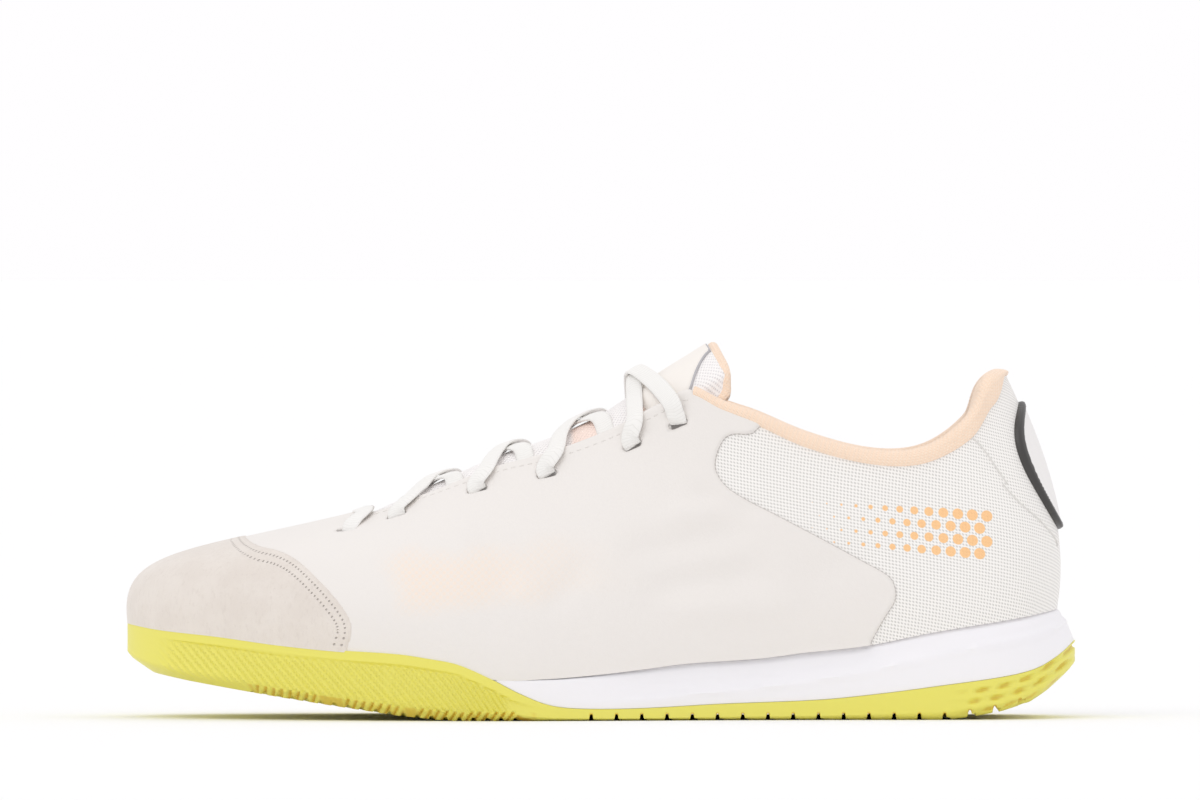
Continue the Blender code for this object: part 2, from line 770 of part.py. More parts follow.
def build_heel_patch(finish):
    """Raised oval plate on the back of the heel."""
    steps = 6
    reach = math.pi * HEEL_PATCH_TURN_SHARE
    turns = [math.pi + reach * part / steps for part in range(-steps, steps + 1)]
    lowest, highest = HEEL_PATCH_LEVELS
    rows = 11
    levels = [lowest + (highest - lowest) * row / (rows - 1) for row in range(rows)]
    middle = (HEEL_PATCH_TOP + HEEL_PATCH_LOW) / 2.0
    half = (HEEL_PATCH_TOP - HEEL_PATCH_LOW) / 2.0
    count = len(turns)
    points = []
    for offset in (CLEARANCE, HEEL_PATCH_RISE):
        points += [skin_point(turn, level, offset) for level in levels for turn in turns]
    block = count * len(levels)
    faces = []
    for row in range(len(levels) - 1):
        for column in range(count - 1):
            corner = row * count + column
            quad = (corner, corner + 1, corner + count + 1, corner + count)
            faces.append(quad)
            faces.append(tuple(block + index for index in quad))
    border = list(range(count)) + [row * count + count - 1 for row in range(1, len(levels))]
    border += [block - 2 - step for step in range(count - 1)]
    border += [row * count for row in range(len(levels) - 2, 0, -1)]
    for index, point in enumerate(border):
        after = border[(index + 1) % len(border)]
        faces.append((point, after, block + after, block + point))
    plate = add_piece("heel_patch", points, faces, finish)
    sides = HEEL_PATCH_SIDES
    rim = [(HEEL_PATCH_HALF_WIDTH * math.cos(math.tau * step / sides),
            middle + half * math.sin(math.tau * step / sides)) for step in range(sides)]
    corners = [(along(HEEL_PATCH_FRONT), y, z) for y, z in rim]
    corners += [(along(1.0 + CUTTER_MARGIN), y, z) for y, z in rim]
    walls = [tuple(range(sides)), tuple(range(2 * sides - 1, sides - 1, -1))]
    for index in range(sides):
        after = (index + 1) % sides
        walls.append((index, index + sides, after + sides, after))
    cutter = add_piece("heel_patch_cutter", corners, walls, None)
    cutter.hide_render = True
    cutter.display_type = "WIRE"
    cut(plate, cutter, "INTERSECT")


def open_tube(name, sections, finish, smooth_angle=60.0):
    """Closed solid from cross-sections in a row, with its first and last section filled."""
    count = len(sections[0])
    points = [point for section in sections for point in section]
    faces = ring_bands(count, len(sections))
    faces.append(tuple(range(count)))
    faces.append(tuple(range(len(points) - 1, len(points) - count - 1, -1)))
    return add_piece(name, points, faces, finish, smooth_angle)


COLLAR_SHARES = [share for share in UPPER_SHARES if share >= 0.64]


# Section of the collar's roll, from its foot outside over its top to the pad: place out of the edge in
# metres, in shares of the wall and of the pad, its rise as a share of the roll's height, and its share
# of the pad's fall at the heel
ROLL_SECTION = (
    # out, wall, pad, rise, fall
    (0.0002, 0.0, 0.00, 0.00, 0.0),
    (0.0006, 0.0, 0.00, 0.45, 0.0),
    (-0.0006, 0.0, 0.00, 0.88, 0.0),
    (0.0000, 0.6, 0.25, 1.00, 0.0),
    (0.0000, 1.0, 0.75, 0.72, 1.0),
)
# The pad down the inside: level on the wall and share of the pad's thickness
PAD_SECTION = (
    # level, depth
    (0.97, 1.00),
    (0.86, 0.95),
    (0.74, 0.55),
)
PAD_FOOT_LEVEL = 0.66
PAD_FOOT_SHARE = 0.6     # pad's thickness at its foot, as a share of its thickness at the front
ROLL_FRONT_SHARE = 0.55  # height of the roll at the front corners of the collar
PAD_GROWS = (0.63, 0.74)     # shares of the length between which roll and pad reach full size
PAD_FALLS = (0.86, 0.94)     # and between which the pad's top begins to fall away


def build_collar(finish):
    """Knit collar: a roll standing on the upper's edge and a soft pad down the inside."""
    lateral = [turn_of(share) for share in COLLAR_SHARES]
    turns = lateral + [math.pi] + [math.tau - turn for turn in reversed(lateral)]
    sections = []
    for turn in turns:
        folded = turn if turn <= math.pi else math.tau - turn
        share = share_of(folded)
        full = blend(*PAD_GROWS, share)
        edge = wall_point(turn, 1.0)
        normal = wall_normal(turn, 1.0)
        side = Vector((normal.x, normal.y, 0.0)).normalized()
        up = Vector((0.0, 0.0, 1.0))
        pad = PAD_FRONT + (PAD_THICKNESS - PAD_FRONT) * full
        roll = roll_height(share) * (ROLL_FRONT_SHARE + (1.0 - ROLL_FRONT_SHARE) * full)
        drop = PAD_BACK_DROP * blend(*PAD_FALLS, share)
        seat = CLEARANCE * 2.0
        inner = -UPPER_WALL - CLEARANCE * 2.5

        def inside(level, depth):
            return skin_point(turn, level, inner - depth)

        section = []
        for out, wall_share, pad_share, rise, fall in ROLL_SECTION:
            reach = out + inner * wall_share - pad * pad_share
            section.append(edge + side * reach + up * (max(roll * rise, seat) - drop * fall))
        section += [inside(level, pad * depth) for level, depth in PAD_SECTION]
        section.append(inside(PAD_FOOT_LEVEL, PAD_FRONT * PAD_FOOT_SHARE))
        section.append(inside(PAD_FOOT_LEVEL, 0.0))
        section += [inside(level, 0.0) for level, depth in reversed(PAD_SECTION)]
        section.append(edge + side * inner + up * seat)
        sections.append(section)
    return open_tube("collar", sections, finish)


# Tongue rows from its sewn end to the top of the lace rows: the place of the row along the upper's
# edge, and the level on the wall down to which the tongue reaches under the eyestay
TONGUE = (
    # foot, lowest level
    (0.04, 0.985),
    (0.09, 0.950),
    (0.15, 0.900),
    (0.21, 0.860),
    (0.27, 0.830),
    (0.33, 0.810),
    (0.39, 0.800),
    (0.45, 0.800),
    (0.51, 0.810),
    (0.56, 0.830),
    (0.60, 0.860),
)
# Free end of the tongue: shares of its rise, and its width and wings there
TONGUE_END = (
    # rise, width, wings, thickness
    (0.40, 0.97, 0.88, 1.00),
    (0.75, 0.92, 0.76, 0.90),
    (1.00, 0.85, 0.66, 0.55),
)
CROWN_PARTS = (0.14, 0.32, 0.50, 0.68, 0.86)


CROWN_SLOPES = (17.0, 30.0)      # degrees over the floor, at the toe side and at the ankle side
CROWN_BEND = (0.3, 0.6)          # shares between which the slope changes
CROWN_ROUND = 0.8
FREE_END_SLOPE = 32.0            # degrees over the floor, past the top of the lace rows
TONGUE_SEWN_SHARE = 0.5          # thickness at the sewn end
TONGUE_SEWN_ROWS = 4
TONGUE_BORDER_SHARE = 0.35       # thickness at the sides


def crown_slope(share):
    """Slope of the tongue's ridge over the floor."""
    front, back = CROWN_SLOPES
    return math.radians(front + (back - front) * blend(*CROWN_BEND, share))


def tongue_top(share, part):
    """Point on the tongue's arch over the throat, from the lateral eyestay to the medial one."""
    turn = turn_of(share)
    depth = -UPPER_WALL - 3.0 * CLEARANCE
    left = skin_point(turn, 1.0, depth)
    right = skin_point(math.tau - turn, 1.0, depth)
    half = (right - left).length / 2.0
    slope = crown_slope(share)
    rise = Vector((-math.sin(slope), 0.0, math.cos(slope)))
    arch = math.sin(math.pi * part) ** CROWN_ROUND
    return left.lerp(right, part) + rise * (TONGUE_CROWN_SHARE * half * arch)


def tongue_row(share, low_level):
    """Outer points of the tongue across the shoe: under both eyestays and over the throat."""
    turn = turn_of(share)
    sides = []
    for place in (turn, math.tau - turn):
        levels = [low_level + (1.0 - low_level) * part for part in (0.0, 0.5, 1.0)]
        sides.append([skin_point(place, level, -UPPER_WALL - 3.0 * CLEARANCE) for level in levels])
    crown = [tongue_top(share, part) for part in CROWN_PARTS]
    return sides[0] + crown + list(reversed(sides[1]))


def tongue_rows():
    rows = [tongue_row(share, level) for share, level in TONGUE]
    last = rows[-1]
    centre = last[len(last) // 2]
    axis_y = centre.y
    slope = math.radians(FREE_END_SLOPE)
    lift = Vector((TONGUE_RISE * math.cos(slope), 0.0, TONGUE_RISE * math.sin(slope)))
    for rise, width, wings, thickness in TONGUE_END:
        row = []
        for index, point in enumerate(last):
            wing = index < 2 or index > len(last) - 3
            near = last[2] if index < 2 else last[-3]
            base = near.lerp(point, wings) if wing else point
            place = base + lift * rise
            place.y = axis_y + (place.y - axis_y) * width
            row.append(place)
        rows.append(row)
    return rows


def build_tongue(finish):
    """Padded tongue: one thick curved sheet under the eyestays, with a free upper end."""
    rows = tongue_rows()
    count = len(rows[0])

    def normal_at(row, column):
        ahead = rows[min(row + 1, len(rows) - 1)][column] - rows[max(row - 1, 0)][column]
        across = rows[row][min(column + 1, count - 1)] - rows[row][max(column - 1, 0)]
        return ahead.cross(across).normalized()

    points = [point for row in rows for point in row]
    for row in range(len(rows)):
        full = blend(0, TONGUE_SEWN_ROWS, row)
        thick = TONGUE_THICKNESS * (TONGUE_SEWN_SHARE + (1.0 - TONGUE_SEWN_SHARE) * full)
        if row >= len(TONGUE):
            thick *= TONGUE_END[row - len(TONGUE)][3]
        for column in range(count):
            border = min(column, count - 1 - column)
            share = TONGUE_BORDER_SHARE + (1.0 - TONGUE_BORDER_SHARE) * blend(0, 2, border)
            points.append(rows[row][column] - normal_at(row, column) * thick * share)
    block = len(rows) * count
    faces = []
    for row in range(len(rows) - 1):
        for column in range(count - 1):
            corner = row * count + column
            quad = (corner, corner + 1, corner + count + 1, corner + count)
            faces.append(quad)
            faces.append(tuple(block + index for index in quad))
    for row in range(len(rows) - 1):
        for column in (0, count - 1):
            low = row * count + column
            faces.append((low, low + count, block + low + count, block + low))
    for row in (0, len(rows) - 1):
        for column in range(count - 1):
            low = row * count + column
            faces.append((low, low + 1, block + low + 1, block + low))
    return add_piece("tongue", points, faces, finish, 60.0)


# Lace holes on each side, toe to ankle: place along the upper's edge and level on its wall
LACE_HOLES = (
    # foot, level
    (0.120, 0.87),
    (0.225, 0.90),
    (0.350, 0.90),
    (0.440, 0.90),
    (0.545, 0.90),
    (0.605, 0.90),
)


LACE_AHEAD = 0.03        # step along the upper's edge that gives a hole's forward direction
EDGE_LEVEL = 0.995       # where a lace run goes over the throat's edge
EDGE_STEP = 0.01
EDGE_LIFT_SHARE = 1.6    # room under a run there, over the room under the other laces
EDGE_ASIDE_SHARE = 0.53  # how far beside its hole a run goes over the edge, in lace widths
ARCH_NEAR_SHARE = 0.55   # place of a run on the tongue's arch, from its hole to the crossing
ARCH_PART = 0.24         # and across the arch, out of its middle
ARCH_LEAN = (0.8, 0.5)   # upward and sideways shares of the arch's normal there


def diamond(centre, normal, forward):
    """Corners of a square of lace: front, lateral, rear and medial, with its normal."""
    across = normal.cross(forward).normalized()
    ahead = across.cross(normal).normalized()
    half = LACE_WIDTH / math.sqrt(2.0)
    corners = [centre + ahead * half, centre + across * half, centre - ahead * half, centre - across * half]
    return corners, normal


def lace_hole(index, side):
    """Square of lace that lies over a hole, on the lateral side (-1) or the medial side (1)."""
    foot, level = LACE_HOLES[index]
    turn = turn_of(foot) if side < 0 else math.tau - turn_of(foot)
    normal = wall_normal(turn, level)
    height = OVERLAY_TOP + LACE_LIFT + LACE_THICKNESS / 2.0
    front = turn_of(foot - LACE_AHEAD)
    ahead = wall_point(front if side < 0 else math.tau - front, level) - wall_point(turn, level)
    return diamond(skin_point(turn, level, height), normal, ahead)


def lace_crossing(index):
    """Square of lace where two runs cross on the ridge of the tongue."""
    middle = (LACE_HOLES[index][0] + LACE_HOLES[index + 1][0]) / 2.0
    slope = crown_slope(middle)
    up = Vector((-math.sin(slope), 0.0, math.cos(slope)))
    centre = tongue_top(middle, 0.5) + up * (LACE_THICKNESS / 2.0 + LACE_LIFT)
    return diamond(centre, up, Vector((-math.cos(slope), 0.0, -math.sin(slope))))


def edge_section(foot, way, side, width):
    """Section of a lace run over the throat's edge, beside its hole: way is -1 to the toe, 1 back."""
    def at(place):
        return turn_of(place) if side < 0 else math.tau - turn_of(place)

    height = OVERLAY_TOP + LACE_LIFT * EDGE_LIFT_SHARE + LACE_THICKNESS / 2.0
    before = skin_point(at(foot - EDGE_STEP), EDGE_LEVEL, height)
    after = skin_point(at(foot + EDGE_STEP), EDGE_LEVEL, height)
    across = (after - before).normalized() * width
    centre = skin_point(at(foot), EDGE_LEVEL, height) + across * (EDGE_ASIDE_SHARE * way)
    return centre - across / 2.0, centre + across / 2.0, wall_normal(at(foot), EDGE_LEVEL)


def arch_section(hole_foot, middle_foot, side):
    """Section of a lace run on the tongue's arch, between its hole and the ridge."""
    foot = hole_foot + (middle_foot - hole_foot) * ARCH_NEAR_SHARE
    part = 0.5 + side * ARCH_PART
    slope = crown_slope(foot)
    rise, lean = ARCH_LEAN
    up = Vector((-math.sin(slope) * rise, side * lean, math.cos(slope) * rise)).normalized()
    centre = tongue_top(foot, part) + up * (LACE_THICKNESS / 2.0 + LACE_LIFT)
    back = Vector((math.cos(slope), 0.0, math.sin(slope))) * (LACE_WIDTH / 2.0)
    return centre - back, centre + back, up


def build_lace(finish):
    """Laces over the tongue: one straight run at the front and five crossings, all joined."""
    points = []
    faces = []

    def add_pair(place, normal):
        points.append(place + normal * (LACE_THICKNESS / 2.0))
        points.append(place - normal * (LACE_THICKNESS / 2.0))
        return len(points) - 2

    def add_square(square):
        corners, normal = square
        pairs = [add_pair(corner, normal) for corner in corners]
        faces.append(tuple(pairs))
        faces.append(tuple(pair + 1 for pair in reversed(pairs)))
        return pairs

    used = set()

    def add_arm(first, second, sections):
        """Run of lace from one edge of a square to an edge of another, by way of sections."""
        used.add(frozenset(first))
        used.add(frozenset(second))
        chain = [first]
        for toe_side, heel_side, normal in sections:
            chain.append((add_pair(toe_side, normal), add_pair(heel_side, normal)))
        chain.append(second)
        for (a, b), (c, d) in zip(chain, chain[1:]):
            faces.append((a, b, d, c))
            faces.append((a + 1, c + 1, d + 1, b + 1))
            faces.append((a, c, c + 1, a + 1))
            faces.append((b, b + 1, d + 1, d))

    holes = {}
    for side in (-1, 1):
        for index in range(len(LACE_HOLES)):
            holes[side, index] = add_square(lace_hole(index, side))
    front, lateral, rear, medial = range(4)
    inner = {-1: medial, 1: lateral}
    centres = []
    for index in range(len(LACE_HOLES) - 1):
        centre = add_square(lace_crossing(index))
        centres.append(centre)
        near, far = LACE_HOLES[index][0], LACE_HOLES[index + 1][0]
        middle = (near + far) / 2.0
        for side in (-1, 1):
            outer = lateral if side < 0 else medial
            ahead, behind = holes[side, index], holes[side, index + 1]
            width = LACE_WIDTH if index > 0 else LACE_WIDTH * FRONT_LACE_SHARE
            to_front = [edge_section(near, 1.0, side, width)]
            to_rear = [edge_section(far, -1.0, side, width)]
            if index > 0:
                to_front.append(arch_section(near, middle, side))
                to_rear.append(arch_section(far, middle, side))
            add_arm((ahead[inner[side]], ahead[rear]), (centre[front], centre[outer]), to_front)
            add_arm((behind[front], behind[inner[side]]), (centre[outer], centre[rear]), to_rear)
    width = LACE_WIDTH * FRONT_LACE_SHARE
    over = [edge_section(LACE_HOLES[0][0], -1.0, side, width) for side in (-1, 1)]
    add_arm((holes[-1, 0][front], holes[-1, 0][medial]), (holes[1, 0][front], holes[1, 0][lateral]), over)
    for square in list(holes.values()) + centres:
        for index in range(4):
            edge = (square[index], square[(index + 1) % 4])
            if frozenset(edge) not in used:
                faces.append((edge[0], edge[0] + 1, edge[1] + 1, edge[1]))
    return add_piece("lace", points, faces, finish, 50.0)


def centre_over_origin(widest):
    """Move every piece sideways so that the outsole, the widest one, is centred on the origin."""
    sides = [vertex.co.y for vertex in widest.data.vertices]
    shift = Vector((0.0, -(min(sides) + max(sides)) / 2.0, 0.0))
    for item in bpy.data.objects:
        for vertex in item.data.vertices:
            vertex.co += shift


def main():
    clear_scene()
    rubber = material("outsole_rubber", (0.83, 0.77, 0.20), 0.45)
    foam = material("midsole_foam", (0.86, 0.83, 0.85), 0.55)
    outsole = build_outsole(rubber)
    build_midsole(foam)
    build_insole(material("insole_foam", (0.80, 0.78, 0.74), 0.85))
    build_upper(material("upper_mesh", (0.84, 0.82, 0.80), 0.75))
    leather = material("vamp_leather", (0.88, 0.86, 0.84), 0.5)
    build_overlays(leather, material("toe_suede", (0.78, 0.74, 0.71), 0.9))
    build_heel_patch(material("heel_plate", (0.90, 0.87, 0.85), 0.4))
    build_collar(material("collar_knit", (0.94, 0.76, 0.62), 0.9))
    build_tongue(material("tongue_mesh", (0.87, 0.82, 0.86), 0.8))
    build_lace(material("lace_weave", (0.90, 0.89, 0.87), 0.8))
    centre_over_origin(outsole)


main()
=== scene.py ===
"""Looks of the indoor soccer shoe: fine upper, overlays, seams, knit, laces and ribbed sole."""
import math

import bpy
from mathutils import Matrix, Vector, noise


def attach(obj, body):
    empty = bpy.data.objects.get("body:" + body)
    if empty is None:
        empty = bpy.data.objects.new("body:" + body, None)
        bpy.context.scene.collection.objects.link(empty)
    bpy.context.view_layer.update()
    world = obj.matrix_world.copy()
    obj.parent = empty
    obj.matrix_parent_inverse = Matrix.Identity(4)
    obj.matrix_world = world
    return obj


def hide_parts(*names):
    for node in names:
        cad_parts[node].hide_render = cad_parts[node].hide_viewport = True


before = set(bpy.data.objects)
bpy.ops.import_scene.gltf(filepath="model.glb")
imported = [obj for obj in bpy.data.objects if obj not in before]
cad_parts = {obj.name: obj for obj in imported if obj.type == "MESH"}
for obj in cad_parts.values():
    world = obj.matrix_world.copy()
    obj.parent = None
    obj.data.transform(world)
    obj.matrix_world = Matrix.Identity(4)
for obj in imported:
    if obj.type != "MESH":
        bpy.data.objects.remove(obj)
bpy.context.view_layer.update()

# Driving sizes of the shoe, as in the part
LENGTH = 0.288
BALL_WIDTH = 0.1005
HEEL_WIDTH = 0.072
TOE_SWING = 0.006
TOE_SPRING = 0.0175
HEEL_STACK = 0.0335
RUBBER_RISE = 0.0289
BED_HEIGHT = 0.0225
INSTEP_HEIGHT = 0.0996
HEEL_HEIGHT = 0.1057
TONGUE_RISE = 0.0177
OUTSOLE_BASE = 0.0030
RIM_WALL = 0.0030
UNDER_INSET = 0.0030
UNDER_TUCK = 0.0050
HEEL_LEAN = 0.0042
FOOT_INSET = 0.0012
UPPER_WALL = 0.0020
ANKLE_WIDTH = 0.065
COLLAR_ROLL = 0.0040
ROLL_BACK_SHARE = 0.28
ROLL_FALLS = (0.95, 0.995)   # shares of the length between which the roll sinks to that share
PAD_BACK_DROP = 0.0026
CLEARANCE = 0.0003
TONGUE_CROWN = 0.40
INSOLE_THICKNESS = 0.0035
BED_LEDGE = 0.0030
BED_SLOPE = 0.0030

OUTLINE = (
    # along, lateral, medial
    (0.00, 0.000, 0.000), (0.02, 0.170, 0.180), (0.05, 0.270, 0.270), (0.10, 0.360, 0.354),
    (0.15, 0.420, 0.408), (0.20, 0.464, 0.448), (0.28, 0.508, 0.473), (0.35, 0.527, 0.468),
    (0.42, 0.522, 0.438), (0.50, 0.488, 0.384), (0.58, 0.461, 0.352), (0.65, 0.470, 0.366),
    (0.72, 0.500, 0.416), (0.80, 0.521, 0.479), (0.87, 0.507, 0.500), (0.93, 0.458, 0.465),
    (0.97, 0.347, 0.347), (1.00, 0.000, 0.000),
)
UNDERSIDE = (
    # along, height
    (0.000, 1.00), (0.006, 0.92), (0.027, 0.78), (0.065, 0.66), (0.116, 0.52), (0.160, 0.40),
    (0.224, 0.24), (0.287, 0.09), (0.330, 0.02), (0.350, 0.00), (0.862, 0.00), (0.888, 0.05),
    (0.920, 0.14), (0.951, 0.30), (0.972, 0.50), (0.986, 0.66), (1.000, 0.82),
)
RIM = (
    # along, height
    (0.000, 1.000), (0.034, 0.945), (0.097, 0.882), (0.160, 0.800), (0.224, 0.737), (0.287, 0.696),
    (0.319, 0.650), (0.350, 0.588), (0.386, 0.433), (0.413, 0.294), (0.444, 0.170), (0.475, 0.128),
    (0.540, 0.128), (0.626, 0.170), (0.730, 0.211), (0.793, 0.273), (0.857, 0.356), (0.926, 0.453),
    (0.959, 0.536), (0.983, 0.671), (1.000, 0.810),
)
SOLE_TOP = (
    # along, height
    (0.000, 0.863), (0.034, 0.815), (0.097, 0.761), (0.160, 0.690), (0.224, 0.636), (0.287, 0.600),
    (0.319, 0.561), (0.350, 0.507), (0.386, 0.388), (0.442, 0.391), (0.495, 0.427), (0.541, 0.472),
    (0.590, 0.525), (0.667, 0.570), (0.711, 0.618), (0.778, 0.681), (0.846, 0.797), (0.926, 0.907),
    (1.000, 1.000),
)
FOOT_BED = (
    # along, height
    (0.00, 0.86), (0.06, 0.76), (0.12, 0.66), (0.20, 0.55), (0.30, 0.47), (0.40, 0.46),
    (0.50, 0.52), (0.60, 0.63), (0.70, 0.76), (0.80, 0.89), (0.90, 0.97), (1.00, 1.00),
)
UPPER = (
    # foot, edge along, edge half, edge height, rise, bulge, fall, flare
    (0.00, 0.2400, 0.000, 0.6175, 0.615, 0.025, 0.40, 0.80),
    (0.03, 0.2415, 0.065, 0.6145, 0.615, 0.025, 0.39, 0.79),
    (0.08, 0.2470, 0.117, 0.6105, 0.600, 0.027, 0.36, 0.76),
    (0.15, 0.2620, 0.154, 0.6185, 0.550, 0.028, 0.31, 0.69),
    (0.22, 0.2900, 0.192, 0.6456, 0.500, 0.024, 0.27, 0.62),
    (0.30, 0.3350, 0.223, 0.6958, 0.450, 0.020, 0.25, 0.56),
    (0.38, 0.3950, 0.254, 0.7610, 0.420, 0.016, 0.26, 0.50),
    (0.45, 0.4500, 0.285, 0.8030, 0.400, 0.010, 0.28, 0.46),
    (0.52, 0.5100, 0.323, 0.8685, 0.380, 0.006, 0.30, 0.43),
    (0.58, 0.5600, 0.377, 0.9438, 0.350, 0.010, 0.33, 0.40),
    (0.63, 0.6000, 0.423, 0.9940, 0.350, 0.020, 0.34, 0.38),
    (0.68, 0.6500, 0.469, 0.9366, 0.330, 0.024, 0.33, 0.32),
    (0.74, 0.7150, 0.500, 0.8325, 0.330, 0.025, 0.33, 0.30),
    (0.80, 0.7800, 0.500, 0.7748, 0.330, 0.025, 0.33, 0.30),
    (0.86, 0.8400, 0.462, 0.7820, 0.330, 0.026, 0.33, 0.35),
    (0.91, 0.8870, 0.385, 0.8700, 0.330, 0.030, 0.33, 0.45),
    (0.95, 0.9080, 0.270, 0.9700, 0.320, 0.035, 0.34, 0.58),
    (0.98, 0.9205, 0.148, 0.9970, 0.310, 0.039, 0.35, 0.70),
    (1.00, 0.9260, 0.000, 1.0000, 0.310, 0.040, 0.35, 0.74),
)


def blend(low, high, value):
    """Smooth step from 0 at low to 1 at high."""
    share = min(max((value - low) / (high - low), 0.0), 1.0)
    return share * share * (3.0 - 2.0 * share)


def between(rise, fall, value):
    """1 between two soft steps, up over the first range and down over the second."""
    return blend(*rise, value) * (1.0 - blend(*fall, value))


def roll_height(share):
    """Height of the knit roll over the upper's edge: full on the sides, low at the back of the heel."""
    return COLLAR_ROLL * (1.0 - (1.0 - ROLL_BACK_SHARE) * blend(*ROLL_FALLS, share))


def turn_of(share):
    return math.acos(min(max(1.0 - 2.0 * share, -1.0), 1.0))


def share_of(turn):
    return (1.0 - math.cos(turn)) / 2.0


def smooth_curve(knots, values, place):
    """Smooth curve through values at rising knots, with slopes from the neighbours."""
    last = len(knots) - 1
    place = min(max(place, knots[0]), knots[last])
    cell = 0
    while cell < last - 1 and place > knots[cell + 1]:
        cell += 1

    def slope(index):
        before = max(index - 1, 0)
        after = min(index + 1, last)
        return (values[after] - values[before]) / (knots[after] - knots[before])

    span = knots[cell + 1] - knots[cell]
    part = (place - knots[cell]) / span
    square = part * part
    cube = square * part
    return (
        (2.0 * cube - 3.0 * square + 1.0) * values[cell]
        + (cube - 2.0 * square + part) * span * slope(cell)
        + (3.0 * square - 2.0 * cube) * values[cell + 1]
        + (cube - square) * span * slope(cell + 1)
    )


def curve_of(table, place, column=1):
    return smooth_curve([row[0] for row in table], [row[column] for row in table], place)


def along(share):
    return (share - 0.5) * LENGTH


def share_at(x):
    return x / LENGTH + 0.5


def centre_line(share):
    reach = max(1.0 - share / 0.4, 0.0)
    return TOE_SWING * reach * reach


def width_at(share):
    return BALL_WIDTH + (HEEL_WIDTH - BALL_WIDTH) * blend(0.5, 0.8, share)


OUTLINE_TURNS = [turn_of(row[0]) for row in OUTLINE]
HALVES = {-1: [row[1] for row in OUTLINE], 1: [row[2] for row in OUTLINE]}


def outline(turn):
    """Point of the sole's outline in plan; the turn runs toe, lateral side, heel, medial side."""
    turn = turn % math.tau
    side = -1 if turn <= math.pi else 1
    folded = turn if side < 0 else math.tau - turn
    share = share_of(folded)
    half = smooth_curve(OUTLINE_TURNS, HALVES[side], folded) * width_at(share)
    return Vector((along(share), centre_line(share) + side * half))


def outward(turn):
    """Unit normal of the outline in plan."""
    run = outline(turn + 0.01) - outline(turn - 0.01)
    normal = Vector((-run.y, run.x))
    if normal.dot(outline(turn)) < 0.0:
        normal = -normal
    return normal.normalized()


def tip_factor(turn):
    return outward(turn).x ** 2


def heel_factor(turn):
    return max(outward(turn).x, 0.0) ** 2


def underside(share):
    for (start, low), (end, high) in zip(UNDERSIDE, UNDERSIDE[1:]):
        if share <= end:
            return TOE_SPRING * (low + (high - low) * max(share - start, 0.0) / (end - start))
    return TOE_SPRING * UNDERSIDE[-1][1]


def rim_top(share):
    return RUBBER_RISE * curve_of(RIM, share)


def sole_top(share):
    return HEEL_STACK * curve_of(SOLE_TOP, share)


def foot_bed(share):
    return BED_HEIGHT * curve_of(FOOT_BED, share)


def inset_place(turn, inset):
    return outline(turn) - outward(turn) * inset


def folded_share(turn):
    turn = turn % math.tau
    return share_of(turn if turn <= math.pi else math.tau - turn)


def ring_of_rows():
    """Rows of the upper at their turns all the way round, the medial half mirrored."""
    lateral = [(turn_of(row[0]), (row[1], -row[2], *row[3:])) for row in UPPER]
    medial = [(math.tau - turn, (row[0], -row[1], *row[2:])) for turn, row in lateral[-2:0:-1]]
    one_turn = lateral + medial
    before = [(turn - math.tau, row) for turn, row in one_turn[-2:]]
    after = [(turn + math.tau, row) for turn, row in one_turn[:3]]
    return before + one_turn + after


ROW_TURNS = [turn for turn, row in ring_of_rows()]
ROW_COLUMNS = list(zip(*[row for turn, row in ring_of_rows()]))
CURVES = {}


def wall_curve(turn):
    """Four control points of the upper's wall, from its foot on the sole to its edge."""
    key = round(turn % math.tau, 9)
    if key in CURVES:
        return CURVES[key]
    values = [smooth_curve(ROW_TURNS, column, key) for column in ROW_COLUMNS]
    edge_share, edge_half, edge_height, rise, bulge, fall, flare = values
    normal = outward(key)
    foot_plan = inset_place(key, FOOT_INSET + HEEL_LEAN * heel_factor(key))
    foot_share = folded_share(key)
    stand = max(sole_top(foot_share), rim_top(foot_share)) + CLEARANCE
    foot = Vector((foot_plan.x, foot_plan.y, stand))
    height = INSTEP_HEIGHT + (HEEL_HEIGHT - INSTEP_HEIGHT) * blend(0.6, 0.8, foot_share)
    top = height * edge_height - roll_height(foot_share) * blend(0.61, 0.66, foot_share)
    edge = Vector((along(edge_share), centre_line(edge_share) + ANKLE_WIDTH * edge_half, top))
    side = Vector((normal.x, normal.y, 0.0))
    up = Vector((0.0, 0.0, top - foot.z))
    distance = (edge - foot).to_2d().length
    low = foot + side * (bulge * BALL_WIDTH) + up * rise
    high = edge + side * (flare * distance) - up * fall
    CURVES[key] = (foot, low, high, edge)
    return CURVES[key]


def wall_point(turn, level):
    foot, low, high, edge = wall_curve(turn)
    rest = 1.0 - level
    return (
        foot * rest ** 3
        + low * (3.0 * rest * rest * level)
        + high * (3.0 * rest * level * level)
        + edge * level ** 3
    )


def wall_climb(turn, level):
    """Direction up the wall, towards the throat or the collar."""
    step = 0.02
    return (wall_point(turn, min(level + step, 1.0)) - wall_point(turn, max(level - step, 0.0))).normalized()


def wall_normal(turn, level):
    step = 0.02
    run = wall_point(turn + step, level) - wall_point(turn - step, level)
    return run.cross(wall_climb(turn, level)).normalized()


